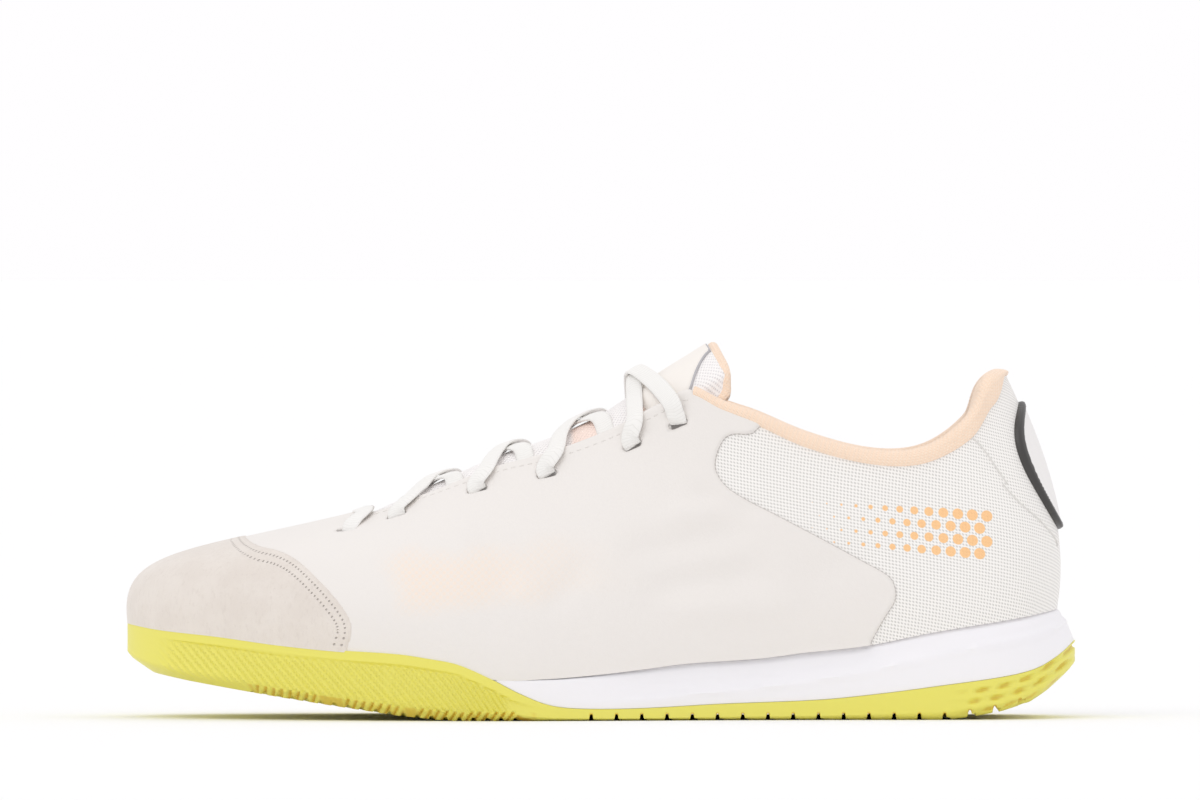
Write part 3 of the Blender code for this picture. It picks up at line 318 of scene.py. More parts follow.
# Soft troughs and ridges of the upper, on the side view: ends along the shoe and above the floor in
# metres from the toe tip, half width and depth; a negative depth is a ridge
CREASES = (
    # start along, start height, end along, end height, half width, depth
    (0.104, 0.0560, 0.118, 0.0400, 0.0050, 0.00096),
    (0.152, 0.0500, 0.186, 0.0570, 0.0060, 0.00144),
    (0.163, 0.0600, 0.193, 0.0690, 0.0055, -0.00096),
    (0.158, 0.0395, 0.193, 0.0450, 0.0065, 0.00160),
    (0.165, 0.0330, 0.202, 0.0350, 0.0060, -0.00096),
    (0.171, 0.0680, 0.193, 0.0640, 0.0045, 0.00112),
    (0.128, 0.0330, 0.140, 0.0480, 0.0060, 0.00080),
    (0.205, 0.0420, 0.226, 0.0520, 0.0080, 0.00080),
)
CREASE_ENDS = ((-0.2, 0.25), (0.75, 1.2))    # shares of a crease where it begins and fades
CREASE_FALL = 1.6
CREASE_REACH = 0.04
SLACK = ((0.02, 0.05), (0.225, 0.26))        # metres from the toe tip where the cloth is slack
SLACK_DEPTH = 0.00035
SLACK_WAVES = Vector((26.0, 34.0, 30.0))
ROLL_LEVELS = 0.06
FOOT_SINK = 0.0008          # how far the cloth goes down behind the sole's edge
UP = Vector((0.0, 0.0, 1.0))


def form(place):
    """How far the cloth stands off the plain last shape at a place, along its normal."""
    spot = Vector((place.x + LENGTH / 2.0, place.z))
    depth = 0.0
    for start_x, start_z, end_x, end_z, half, deep in CREASES:
        if abs(spot.x - (start_x + end_x) / 2.0) < CREASE_REACH:
            start = Vector((start_x, start_z))
            run = Vector((end_x, end_z)) - start
            part = (spot - start).dot(run) / run.length_squared
            away = (spot - start - run * min(max(part, 0.0), 1.0)).length / half
            depth -= deep * between(*CREASE_ENDS, part) * math.exp(-away * away * CREASE_FALL)
    return depth + SLACK_DEPTH * between(*SLACK, spot.x) * noise.noise(place * SLACK_WAVES)


def skin(turn, level, lift):
    """Point over the upper's surface; past level 1 it rolls over the throat's edge to the inside."""
    base = wall_point(turn, min(level, 1.0))
    if level <= 0.0:
        return base + outward(turn).to_3d() * lift - UP * FOOT_SINK
    normal = wall_normal(turn, min(level, 1.0))
    if level > 1.0:
        swing = min((level - 1.0) / ROLL_LEVELS, 1.0) * math.pi
        out = normal * math.cos(swing) + wall_climb(turn, 1.0) * math.sin(swing)
        return base + normal * ((lift - UPPER_WALL) / 2.0) + out * ((lift + UPPER_WALL) / 2.0)
    place = base + normal * (lift + form(base))
    place.z = max(place.z, wall_point(turn, 0.0).z)
    return place


FINE_TURNS = 1440
TIP_CROWD = 0.35


def stations(count, least=0.0, most=1.0):
    """Turns all the way round, even along the outline and closer at both tips, at shares of the length."""
    places = [outline(math.tau * index / FINE_TURNS) for index in range(FINE_TURNS + 1)]
    steps = []
    for index in range(FINE_TURNS):
        tip = tip_factor(math.tau * (index + 0.5) / FINE_TURNS)
        steps.append((places[index + 1] - places[index]).length * (1.0 + TIP_CROWD * tip))
    total = sum(steps)
    turns = []
    reached = 0.0
    target = 0.0
    for index, step in enumerate(steps):
        while target <= reached + step and len(turns) < count:
            turns.append(math.tau * (index + (target - reached) / step) / FINE_TURNS)
            target = total * len(turns) / count
        reached += step
    return [turn for turn in turns if least <= folded_share(turn) <= most]


def toe_stations(count, most):
    """The same from the medial side over the toe to the lateral side, in rising turns."""
    turns = stations(count, most=most)
    medial = [turn - math.tau for turn in turns if turn > math.pi]
    return medial + [turn for turn in turns if turn <= math.pi]


def new_mesh(name, points, faces, finish, angle=60.0):
    mesh = bpy.data.meshes.new(name)
    mesh.from_pydata([tuple(point) for point in points], [], faces)
    mesh.validate()
    mesh.shade_smooth()
    if angle:
        mesh.set_sharp_from_angle(angle=math.radians(angle))
    mesh.materials.append(finish)
    piece = bpy.data.objects.new(name, mesh)
    bpy.context.scene.collection.objects.link(piece)
    return piece


def attribute(piece, name, values):
    piece.data.attributes.new(name, "FLOAT", "POINT").data.foreach_set("value", values)


def grid_faces(rows, count, closed=True, joined=False, start=0):
    """Faces between rows of points; closed joins each row's ends, joined the last row and the first."""
    faces = []
    for row in range(rows if joined else rows - 1):
        low = start + row * count
        high = start + (row + 1) % rows * count
        for index in range(count if closed else count - 1):
            after = (index + 1) % count
            faces.append((low + index, low + after, high + after, high + index))
    return faces


# Lines of the side view, as shares of the length and of the heel's height
TOE_CAP_EDGE = (
    # along, height
    (0.121, 0.570), (0.124, 0.520), (0.140, 0.490), (0.162, 0.476), (0.182, 0.450), (0.202, 0.405),
    (0.222, 0.350), (0.236, 0.300), (0.2405, 0.260), (0.237, 0.215), (0.228, 0.150),
)
VAMP_EDGE = (
    # along, height
    (0.690, 1.050), (0.667, 0.836), (0.638, 0.814), (0.628, 0.794), (0.621, 0.747), (0.622, 0.704),
    (0.638, 0.653), (0.684, 0.586), (0.738, 0.509), (0.779, 0.448), (0.802, 0.411), (0.809, 0.374),
    (0.808, 0.336), (0.797, 0.288), (0.775, 0.180),
)
LACE_HOLES = (
    # foot, level
    (0.120, 0.87), (0.225, 0.90), (0.350, 0.90), (0.440, 0.90), (0.545, 0.90), (0.605, 0.90),
)
VAMP_LIFT = 0.0009
CAP_LIFT = 0.00125
CAP_OVERLAP = 0.0035
EDGE_ROUND = 0.0009
SLOT_RADIUS = 0.0011
SLOT_HALF = 0.0019


def fine_line(table, parts=4):
    """Polyline of the side view in metres, smoothed through the rows of a table."""
    knots = list(range(len(table)))
    xs = [along(row[0]) for row in table]
    zs = [HEEL_HEIGHT * row[1] for row in table]
    steps = (len(table) - 1) * parts
    line = []
    for step in range(steps + 1):
        place = step / parts
        line.append((smooth_curve(knots, xs, place), smooth_curve(knots, zs, place)))
    return line


def line_gap(line, x, z):
    """Distance from a line of the side view, positive on its toe side, and the run along the line."""
    best = 1e9
    result = (0.0, 0.0)
    run = 0.0
    for (ax, az), (bx, bz) in zip(line, line[1:]):
        dx, dz = bx - ax, bz - az
        length = math.hypot(dx, dz)
        part = ((x - ax) * dx + (z - az) * dz) / (length * length)
        part = min(max(part, 0.0), 1.0)
        away = math.hypot(x - ax - dx * part, z - az - dz * part)
        if away < best:
            best = away
            side = dx * (z - az) - dz * (x - ax)
            result = (-away if side > 0.0 else away, run + part * length)
        run += length
    return result


CAP_LINE = fine_line(TOE_CAP_EDGE)
VAMP_LINE = fine_line(VAMP_EDGE)
SIDE_SHIFT = -(min(outline(math.tau * k / 720).y for k in range(720))
               + max(outline(math.tau * k / 720).y for k in range(720))) / 2.0


def side_turn(foot, side):
    return turn_of(foot) if side < 0 else math.tau - turn_of(foot)


def slot_places():
    """Centre of each lace slot and half of its length along the throat's edge."""
    slots = []
    for side in (-1, 1):
        for foot, level in LACE_HOLES:
            centre = wall_point(side_turn(foot, side), level)
            ahead = wall_point(side_turn(foot + 0.01, side), level)
            slots.append((centre, (ahead - centre).normalized() * SLOT_HALF))
    return slots


SLOTS = slot_places()


def hole_gap(place):
    """Distance out of the nearest lace slot."""
    best = 1.0
    for centre, half in SLOTS:
        away = place - centre
        if abs(away.x) < 0.01:
            part = min(max(away.dot(half) / half.length_squared, -1.0), 1.0)
            best = min(best, (away - half * part).length - SLOT_RADIUS)
    return best


def rounded(gap, thick, low=0.0):
    """Height of a panel at a distance in from its edge, with a rounded border."""
    part = min(max(gap / EDGE_ROUND, 0.0), 1.0)
    return low + (thick - low) * math.sqrt(max(1.0 - (1.0 - part) ** 2, 0.0))


def clip_panel(name, turns, levels, keep, lift, finish):
    """Panel of the upper's surface where keep is positive, with its border on the line itself."""
    corners = {}
    for row, level in enumerate(levels):
        for column, turn in enumerate(turns):
            corners[row, column] = (turn, level, *keep(wall_point(turn, min(level, 1.0))))
    known, values, faces = {}, [], []

    def node(key, turn, level, gap, run):
        """Number of a point, which is made at its first use."""
        if key not in known:
            known[key] = len(values)
            values.append((skin(turn, level, lift(gap)), gap * 1000.0, run * 1000.0))
        return known[key]

    for row in range(len(levels) - 1):
        for column in range(len(turns) - 1):
            keys = [(row, column), (row, column + 1), (row + 1, column + 1), (row + 1, column)]
            face = []
            for here, after in zip(keys, keys[1:] + keys[:1]):
                if corners[here][2] >= 0.0:
                    face.append(node(here, *corners[here]))
                if (corners[here][2] >= 0.0) != (corners[after][2] >= 0.0):
                    pair = tuple(sorted((here, after)))
                    low, high = corners[pair[0]], corners[pair[1]]
                    part = low[2] / (low[2] - high[2])
                    turn, level, gap, run = [a + (b - a) * part for a, b in zip(low, high)]
                    face.append(node(pair, turn, level, 0.0, run))
            if len(face) > 2:
                faces.append(face)
    points, gaps, runs = zip(*values)
    piece = new_mesh(name, points, faces, finish)
    attribute(piece, "gap", gaps)
    attribute(piece, "run", runs)
    return piece


class Term:
    """Value inside a material; arithmetic with terms makes the nodes for it."""

    def __init__(self, look, socket):
        self.look = look
        self.socket = socket

    def math(self, operation, *others):
        return self.look.math(operation, self, *others)

    def __add__(self, other):
        return self.math("ADD", other)

    def __sub__(self, other):
        return self.math("SUBTRACT", other)

    def __rsub__(self, other):
        return self.look.math("SUBTRACT", other, self)

    def __mul__(self, other):
        return self.math("MULTIPLY", other)

    def __truediv__(self, other):
        return self.math("DIVIDE", other)

    def __lt__(self, other):
        return self.math("LESS_THAN", other)

    def __gt__(self, other):
        return self.math("GREATER_THAN", other)

    def ramp(self, low, high):
        """Smooth step from 0 at low to 1 at high."""
        values = {"From Min": low, "From Max": high, "Value": self}
        return self.look.node("ShaderNodeMapRange", values, interpolation_type="SMOOTHSTEP")

    def fall(self, low, high):
        """Smooth step from 1 at low to 0 at high."""
        return 1.0 - self.ramp(low, high)


class Look:
    """Material with a Principled shader and short helpers for its nodes."""

    def __init__(self, name, colour, roughness, more=()):
        self.finish = bpy.data.materials.new(name)
        self.finish.use_nodes = True
        self.tree = self.finish.node_tree
        self.inputs = self.tree.nodes["Principled BSDF"].inputs
        self.height = None
        for socket, value in (("Base Color", (*colour, 1.0)), ("Roughness", roughness), *more):
            self.inputs[socket].default_value = value

    def node(self, kind, values=(), output=0, **settings):
        """Output of a new node with its settings, and with its inputs from numbers or terms."""
        made = self.tree.nodes.new(kind)
        for key, value in settings.items():
            setattr(made, key, value)
        for key, value in dict(values).items():
            if isinstance(value, Term):
                self.tree.links.new(value.socket, made.inputs[key])
            else:
                made.inputs[key].default_value = value
        return Term(self, made.outputs[output])

    def math(self, operation, *values):
        return self.node("ShaderNodeMath", enumerate(values), operation=operation)

    def value(self, name):
        return self.node("ShaderNodeAttribute", output="Fac", attribute_name=name)

    def spot(self):
        return self.node("ShaderNodeTexCoord", output="Object")

    def place(self):
        """X, Y and Z of the shading point in metres."""
        split = self.tree.nodes.new("ShaderNodeSeparateXYZ")
        self.tree.links.new(self.spot().socket, split.inputs[0])
        return [Term(self, output) for output in split.outputs]

    def noise(self, scale, detail=4.0, rough=0.55, stretched=None):
        spot = self.spot()
        if stretched:
            spot = self.node("ShaderNodeMapping", {"Scale": stretched, "Vector": spot})
        values = {"Scale": scale, "Detail": detail, "Roughness": rough, "Vector": spot}
        return self.node("ShaderNodeTexNoise", values, "Fac")

    def bump(self, source, depth):
        """Relief of a depth in metres; the next relief is stacked on it."""
        values = {"Strength": 1.0, "Distance": depth, "Height": source}
        if self.height:
            values["Normal"] = self.height
        self.height = self.node("ShaderNodeBump", values)
        self.tree.links.new(self.height.socket, self.inputs["Normal"])

    def tint(self, source, colour):
        """Mix another colour into the base where the source is 1."""
        base = self.inputs["Base Color"]
        before = Term(self, base.links[0].from_socket) if base.is_linked else tuple(base.default_value)
        mixed = self.node("ShaderNodeMix", {0: source, 6: before, 7: (*colour, 1.0)}, 2, data_type="RGBA")
        self.tree.links.new(mixed.socket, base)


def linear(red, green, blue):
    """Linear colour from the eight-bit one that a screen shows."""
    shown = [channel / 255.0 for channel in (red, green, blue)]
    return tuple(c / 12.92 if c <= 0.04045 else ((c + 0.055) / 1.055) ** 2.4 for c in shown)


# Colours as the photo shows them
LEATHER = linear(237, 232, 228)
SUEDE = linear(228, 219, 211)
MESH = linear(250, 247, 244)
FOAM = linear(246, 244, 248)
RUBBER = linear(236, 228, 106)
PEACH = linear(255, 232, 211)
MARK = linear(255, 205, 150)
TONGUE_WHITE = linear(252, 248, 247)
LACE_WHITE = linear(244, 242, 239)
PLATE_WHITE = linear(240, 237, 236)
DARK = linear(58, 55, 54)


def shoe_piece(piece, *nodes, slot):
    """Centre a piece as the part is and let it move with the part's body."""
    for vertex in piece.data.vertices:
        vertex.co.y += SIDE_SHIFT
    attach(piece, "root")
    if nodes:
        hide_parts(*nodes)


def levels_between(low, high, count):
    return [low + (high - low) * step / count for step in range(count + 1)]


def dot_distance(across, up, pitch_across, pitch_up):
    """Distance to the nearest dot of a staggered grid in metres, and the numbers of its row and column."""
    row = up / pitch_up
    number = row.math("FLOOR")
    column = across / pitch_across + number.math("FLOORED_MODULO", 2.0) * 0.5
    x = (column.math("FRACT") - 0.5) * pitch_across
    z = (row.math("FRACT") - 0.5) * pitch_up
    return (x * x + z * z).math("SQRT"), number, column.math("FLOOR")


def dots(across, up, pitch_across, pitch_up, radius, soft):
    """1 on round dots of a staggered grid, from two coordinates in metres."""
    return dot_distance(across, up, pitch_across, pitch_up)[0].fall(radius - soft, radius + soft)


MESH_PITCH = 0.00100         # openings of the mesh along the shoe, and their rows
MESH_ROW = 0.00104
MESH_OPENING = 0.00028
MESH_SOFT = 0.00014
MESH_LEAN = 0.35
MESH_SLANT = 0.20
MARK_START = along(0.690)    # plain peach dots on the quarter, growing towards the heel
MARK_END = along(0.905)
MARK_SLANT = -0.08
MARK_PITCH = 0.0044
MARK_ROW = 0.87 * MARK_PITCH
MARK_RADIUS = 0.0017
MARK_SOFT = 0.0001
MARK_ROWS = (15, 18)


def mesh_look():
    """White engineered mesh: openings in slanting rows with painted shade in them, painted shade at the lace
    slots, and a plain field of dots on the quarter.
    """
    look = Look("upper_mesh", MESH, 0.8, [("Sheen Weight", 0.15)])
    across = look.value("run") / 1000.0
    up = look.value("rise") / 1000.0 + across * MESH_SLANT
    openings = dots(across + up * MESH_LEAN, up, MESH_PITCH, MESH_ROW, MESH_OPENING, MESH_SOFT)
    look.bump(openings, -0.00010)
    # painted shade: the mesh's dented openings are tinted grey where shade falls in them
    look.tint(openings * 0.80, linear(203, 200, 196))
    # painted shade: the mesh under and around each lace slot is painted dark where shade falls through the
    # slot
    look.tint(look.value("hole").fall(-0.2, 0.5), linear(120, 116, 113))
    x, y, z = look.place()
    away, row, column = dot_distance(x, z - x * MARK_SLANT, MARK_PITCH, MARK_ROW)
    dot = (away - x.ramp(MARK_START, MARK_END) * MARK_RADIUS).fall(-MARK_SOFT, MARK_SOFT)
    rows = (row > MARK_ROWS[0] - 0.5) * (row < MARK_ROWS[1] + 0.5)
    columns = (x > MARK_START) * (column < math.floor(MARK_END / MARK_PITCH) + 0.5)
    look.tint(dot * (rows * columns), MARK)
    return look.finish


PRINT_NEAR = (along(0.268) + 0.014, along(0.268) + 0.024)    # where the print begins and fades
PRINT_FAR = (along(0.268) + 0.030, along(0.560) + 0.016)
PRINT_LOW = (0.0345, 0.0435)
PRINT_HIGH = (0.0500, 0.0600)
DASH_PITCH = 1.3             # millimetres along the overlay's cut edge


def leather_look():
    """Smooth white leather with a fine grain and a faint peach halftone fading out on its side."""
    look = Look("vamp_leather", LEATHER, 0.52, [("Coat Weight", 0.06), ("Coat Roughness", 0.4)])
    x, y, z = look.place()
    soft = (look.noise(60.0, 3.0) - 0.5) * 0.012
    lean = soft + (x + z * 0.35)
    tall = z - x * 0.10 + soft
    field = lean.ramp(*PRINT_NEAR) * lean.fall(*PRINT_FAR) * (tall.ramp(*PRINT_LOW) * tall.fall(*PRINT_HIGH))
    grid = dots(x, z, 0.0021, 0.00105, 0.00050, 0.00022)
    look.tint(field * (y < 0.0) * (grid * 0.22 + 0.22), linear(255, 226, 198))
    dash = (look.value("run") / DASH_PITCH).math("FRACT").ramp(0.30, 0.42)
    look.tint(look.value("gap").fall(0.12, 0.38) * (dash * 0.40 + 0.25), linear(150, 143, 138))
    grain = look.node("ShaderNodeTexVoronoi", {"Scale": 1500.0, "Vector": look.spot()}, "Distance")
    look.bump(grain, 0.00003)
    look.bump(look.noise(320.0, 5.0), 0.00006)
    return look.finish


CAP_STITCH_ROWS = (2.1, 4.3)     # millimetres in from the cap's edge
CAP_STITCH_PITCH = 1.9


def suede_look():
    """Off-white suede: soft mottled nap and two rows of stitch holes along its edge, with painted shade in
    the holes.
    """
    look = Look("toe_suede", SUEDE, 0.95, [("Sheen Weight", 0.35), ("Sheen Roughness", 0.5)])
    look.tint(look.noise(95.0, 5.0, 0.6).ramp(0.38, 0.66) * 0.35, linear(240, 233, 226))
    fibre = look.noise(900.0, 6.0, 0.7, (1.0, 1.0, 0.5))
    look.tint(fibre.ramp(0.5, 0.72) * 0.30, linear(206, 195, 186))
    look.bump(fibre, 0.00016)
    look.bump(look.noise(4200.0, 3.0), 0.00005)
    for row in CAP_STITCH_ROWS:
        off = look.value("gap") - row
        far = ((look.value("run") / CAP_STITCH_PITCH).math("FRACT") - 0.5) * CAP_STITCH_PITCH
        hole = (off * off + far * far).math("SQRT").fall(0.15, 0.38)
        # painted shade: each stitch hole is darkened where shade falls in it
        look.tint(hole * 0.55, linear(150, 138, 128))
        look.bump(hole, -0.0004)
    return look.finish


def plate_look():
    """White moulded plate with a dark border."""
    look = Look("heel_plate", PLATE_WHITE, 0.42, [("Coat Weight", 0.15)])
    look.tint(look.value("gap").fall(2.5, 2.7), DARK)
    look.bump(look.noise(700.0, 3.0), 0.00003)
    return look.finish


def knit_look(name):
    """Knitted peach tape: short slanting ribs with a fine fuzz, and painted shade in the gaps between the
    knots.
    """
    look = Look(name, PEACH, 0.85, [("Sheen Weight", 0.3)])
    rise = look.value("rise") / 1000.0
    knots = dots(look.value("run") / 1000.0 + rise * 0.5, rise, 0.00125, 0.00085, 0.00034, 0.00026)
    look.bump(knots, 0.00014)
    # painted shade: darker peach in the gaps between the raised knots
    look.tint((1.0 - knots) * 0.30, linear(250, 208, 172))
    look.bump(look.noise(2400.0, 3.0), 0.00004)
    return look.finish


UPPER_TURNS = 380            # fineness of the upper's grid, outside and on the lining
UPPER_LEVELS = 46
LINING_LEVELS = 22
EDGE_STEPS = 6
OVER_EDGE = [1.0 + ROLL_LEVELS * step / EDGE_STEPS for step in range(1, EDGE_STEPS + 1)]


def build_upper():
    """Mesh upper with its lining: one wall, rolled over its edge at throat and collar."""
    turns = stations(UPPER_TURNS)
    rings = [(level, 0.0) for level in levels_between(0.0, 1.0, UPPER_LEVELS) + OVER_EDGE]
    rings += [(level, -UPPER_WALL) for level in levels_between(1.0, 0.0, LINING_LEVELS)[1:]]
    points = [skin(turn, level, lift) for level, lift in rings for turn in turns]
    faces = grid_faces(len(rings), len(turns), joined=True)
    piece = new_mesh("upper_quarter", points, faces, mesh_look())
    middles = [wall_point(turn, 0.5) for turn in turns]
    runs = [0.0]
    for before, after in zip(middles, middles[1:]):
        runs.append(runs[-1] + (after - before).length * 1000.0)
    attribute(piece, "run", runs * len(rings))
    attribute(piece, "rise", [vertex.co.z * 1000.0 for vertex in piece.data.vertices])
    # distance from the lace slots, which sets the painted shade at the slots
    attribute(piece, "hole", [hole_gap(vertex.co) * 1000.0 for vertex in piece.data.vertices])
    shoe_piece(piece, "upper", slot="upper_mesh")


VAMP_REAR = 0.86             # shares of the length that the grids of vamp and cap reach
CAP_REAR = 0.36
PANEL_TURNS = 760
PANEL_LEVELS = 90
CAP_TOP_LEVEL = 0.96
CAP_BORDER = 0.0006          # thickness of the suede at its edge
PLATE_TOP = 0.0957
PLATE_LOW = 0.0570
PLATE_HALF = 0.0195
PLATE_RISE = 0.0018
PLATE_REACH = 0.80           # turn on both sides of the heel that the plate's grid spans
PLATE_START = along(0.85)
PLATE_LEVELS = (0.30, 0.99)
PLATE_GRID = (160, 110)


def vamp_keep(base):
    rear, run = line_gap(VAMP_LINE, base.x, base.z)
    front = CAP_OVERLAP - line_gap(CAP_LINE, base.x, base.z)[0]
    return min(rear, front, hole_gap(base)), run


def cap_keep(base):
    gap, run = line_gap(CAP_LINE, base.x, base.z)
    return gap, run + abs(base.y - TOE_SWING / 2.0)


def plate_keep(base):
    """Distance in from the heel plate's oval border, in the rear view."""
    if base.x < PLATE_START:
        return -1.0, 0.0
    half = (PLATE_TOP - PLATE_LOW) / 2.0
    off = abs(base.z - (PLATE_TOP + PLATE_LOW) / 2.0) / half
    return (1.0 - math.hypot(base.y / PLATE_HALF, off)) * PLATE_HALF * (1.0 + 0.4 * off), 0.0


def vamp_lift(gap):
    return rounded(gap, VAMP_LIFT)


def cap_lift(gap):
    return rounded(gap, CAP_LIFT, CAP_BORDER)


def plate_lift(gap):
    """Height of the plate: rounded border, dark ring and a middle a step lower."""
    return rounded(gap * 0.8, PLATE_RISE) - 0.0005 * blend(0.0024, 0.0030, gap)


def build_panels():
    turns = toe_stations(PANEL_TURNS, VAMP_REAR)
    levels = levels_between(0.0, 1.0, PANEL_LEVELS) + OVER_EDGE
    piece = clip_panel("vamp_panel", turns, levels, vamp_keep, vamp_lift, leather_look())
    shoe_piece(piece, "vamp_overlay", slot="vamp_leather")
    turns = toe_stations(PANEL_TURNS, CAP_REAR)
    levels = levels_between(0.0, CAP_TOP_LEVEL, PANEL_LEVELS)
    piece = clip_panel("toe_cap_panel", turns, levels, cap_keep, cap_lift, suede_look())
    shoe_piece(piece, "toe_cap", slot="toe_suede")
    turns = levels_between(math.pi - PLATE_REACH, math.pi + PLATE_REACH, PLATE_GRID[0])
    levels = levels_between(*PLATE_LEVELS, PLATE_GRID[1])
    piece = clip_panel("heel_plate_oval", turns, levels, plate_keep, plate_lift, plate_look())
    shoe_piece(piece, "heel_patch", slot="heel_plate")


COLLAR_START = 0.625
COLLAR_TURNS = 900
PAD_THICKNESS = 0.0060
PAD_FRONT = 0.0018
PAD_GROWS = (0.63, 0.74)     # shares of the length between which roll and pad reach full size
PAD_FALLS = (0.86, 0.94)     # and between which the pad's top begins to fall away
ROLL_FRONT_SHARE = 0.62
BAND_GROWS = (0.80, 0.93)    # where the band comes down over the quarter, in two steps, and ends again
BAND_GROWS_MORE = (0.86, 0.92)
BAND_ENDS = (0.955, 0.990)
ROLL_SECTION = (
    # out, wall share, pad share, rise, fall
    (0.0011, 0.0, 0.00, 0.14, 0.0),
    (0.0009, 0.0, 0.00, 0.50, 0.0),
    (-0.0004, 0.0, 0.00, 0.88, 0.0),
    (0.0, 0.6, 0.30, 1.00, 0.1),
    (0.0, 1.0, 0.78, 0.70, 1.0),
)
PAD_SECTION = (
    # level, share of the pad's thickness, metres more
    (0.955, 1.00, 0.0), (0.86, 0.95, 0.0), (0.74, 0.60, 0.0), (0.60, 0.25, 0.0),
    (0.48, 0.00, 0.0004), (0.40, 0.00, 0.0),
)


def collar_section(turn):
    """Section of the collar at a turn: from the outside of its roll over the top and down inside."""
    share = folded_share(turn)
    full = blend(*PAD_GROWS, share)
    edge = wall_point(turn, 1.0)
    normal = wall_normal(turn, 1.0)
    side = Vector((normal.x, normal.y, 0.0)).normalized()
    pad = PAD_FRONT + (PAD_THICKNESS - PAD_FRONT) * full
    roll = roll_height(share) * (ROLL_FRONT_SHARE + (1.0 - ROLL_FRONT_SHARE) * full)
    drop = PAD_BACK_DROP * blend(*PAD_FALLS, share)
    inner = -UPPER_WALL - CLEARANCE
    band = 0.030 * blend(*BAND_GROWS, share) + 0.022 * blend(*BAND_GROWS_MORE, share)
    band *= 1.0 - 0.95 * blend(*BAND_ENDS, share)
    points = [skin(turn, 0.988 - band, -0.0003), skin(turn, 0.992 - 0.87 * band, 0.0006)]
    for out, wall_share, pad_share, rise, fall in ROLL_SECTION:
        reach = out + inner * wall_share - pad * pad_share
        points.append(edge + side * reach + UP * (roll * rise - drop * fall))
    return points + [skin(turn, level, inner - pad * part - more) for level, part, more in PAD_SECTION]


def refined(points, parts):
    """Smooth curve through points, with equal parts between each two."""
    knots = list(range(len(points)))
    columns = [[point[axis] for point in points] for axis in range(3)]
    return [Vector(tuple(smooth_curve(knots, column, step / parts) for column in columns))
            for step in range((len(points) - 1) * parts + 1)]


def grid_piece(name, rows, finish, closed=False, angle=60.0):
    """Surface over rows of points, with the lengths along and across them as attributes."""
    count = len(rows[0])
    points = [point for row in rows for point in row]
    piece = new_mesh(name, points, grid_faces(len(rows), count, closed), finish, angle)
    runs, rises = [], []
    run = 0.0
    for row, before in zip(rows, rows[:1] + rows):
        run += (row[count // 2] - before[count // 2]).length * 1000.0
        rise = 0.0
        for point, last in zip(row, row[:1] + row):
            rise += (point - last).length * 1000.0
            runs.append(run)
            rises.append(rise)
    attribute(piece, "run", runs)
    attribute(piece, "rise", rises)
    return piece


def build_collar():
    """Knit collar: a roll over the upper's edge and a soft lining pad down the inside."""
    rows = [refined(collar_section(turn), 4) for turn in stations(COLLAR_TURNS, COLLAR_START)]
    piece = grid_piece("collar_knit_band", rows, knit_look("collar_knit"))
    shoe_piece(piece, "collar", slot="collar_knit")


TONGUE = (
    # foot, lowest level
    (0.04, 0.985), (0.09, 0.950), (0.15, 0.900), (0.21, 0.860), (0.27, 0.830), (0.33, 0.810),
    (0.39, 0.800), (0.45, 0.800), (0.51, 0.810), (0.56, 0.830), (0.60, 0.860),
)
TONGUE_END = (
    # rise, width, wings, thickness
    (0.40, 0.97, 0.88, 1.00), (0.75, 0.92, 0.76, 0.90), (1.00, 0.85, 0.66, 0.55),
)
TONGUE_RUN = Vector((0.85, 0.0, 0.53)) * TONGUE_RISE    # from its last sewn row to its free end
TONGUE_PARTS = (6, 5)                                   # fine steps along and across
CROWN_PARTS = (0.14, 0.32, 0.50, 0.68, 0.86)
TONGUE_THICKNESS = 0.0045
TONGUE_PEACH = (
    # start, end of the peach cloth that shows between the laces
    (along(0.466), along(0.500)), (along(0.536), along(0.566)),
)
UNDER_STAY = -UPPER_WALL - 3.0 * CLEARANCE


def crown_slope(share):
    """Slope of the tongue's ridge over the floor."""
    return math.radians(17.0 + 13.0 * blend(0.3, 0.6, share))


def tongue_top(share, part):
    """Point on the tongue's arch over the throat, from the lateral eyestay to the medial one."""
    turn = turn_of(share)
    left = skin(turn, 1.0, UNDER_STAY)
    right = skin(math.tau - turn, 1.0, UNDER_STAY)
    height = TONGUE_CROWN * (right - left).length / 2.0 * math.sin(math.pi * part) ** 0.8
    slope = crown_slope(share)
    return left.lerp(right, part) + Vector((-math.sin(slope), 0.0, math.cos(slope))) * height


def tongue_row(share, low_level):
    """Outer points of the tongue across the shoe: under both eyestays and over the throat."""
    turn = turn_of(share)
    left, right = [[skin(place, level, UNDER_STAY) for level in levels_between(low_level, 1.0, 2)]
                   for place in (turn, math.tau - turn)]
    return left + [tongue_top(share, part) for part in CROWN_PARTS] + right[::-1]


def tongue_rows():
    rows = [tongue_row(share, level) for share, level in TONGUE]
    last = rows[-1]
    axis_y = last[len(last) // 2].y
    for rise, width, wings, thickness in TONGUE_END:
        row = [last[2].lerp(point, wings) for point in last[:2]] + last[2:-2]
        row += [last[-3].lerp(point, wings) for point in last[-2:]]
        row = [point + TONGUE_RUN * rise for point in row]
        for point in row:
            point.y = axis_y + (point.y - axis_y) * width
        rows.append(row)
    return rows


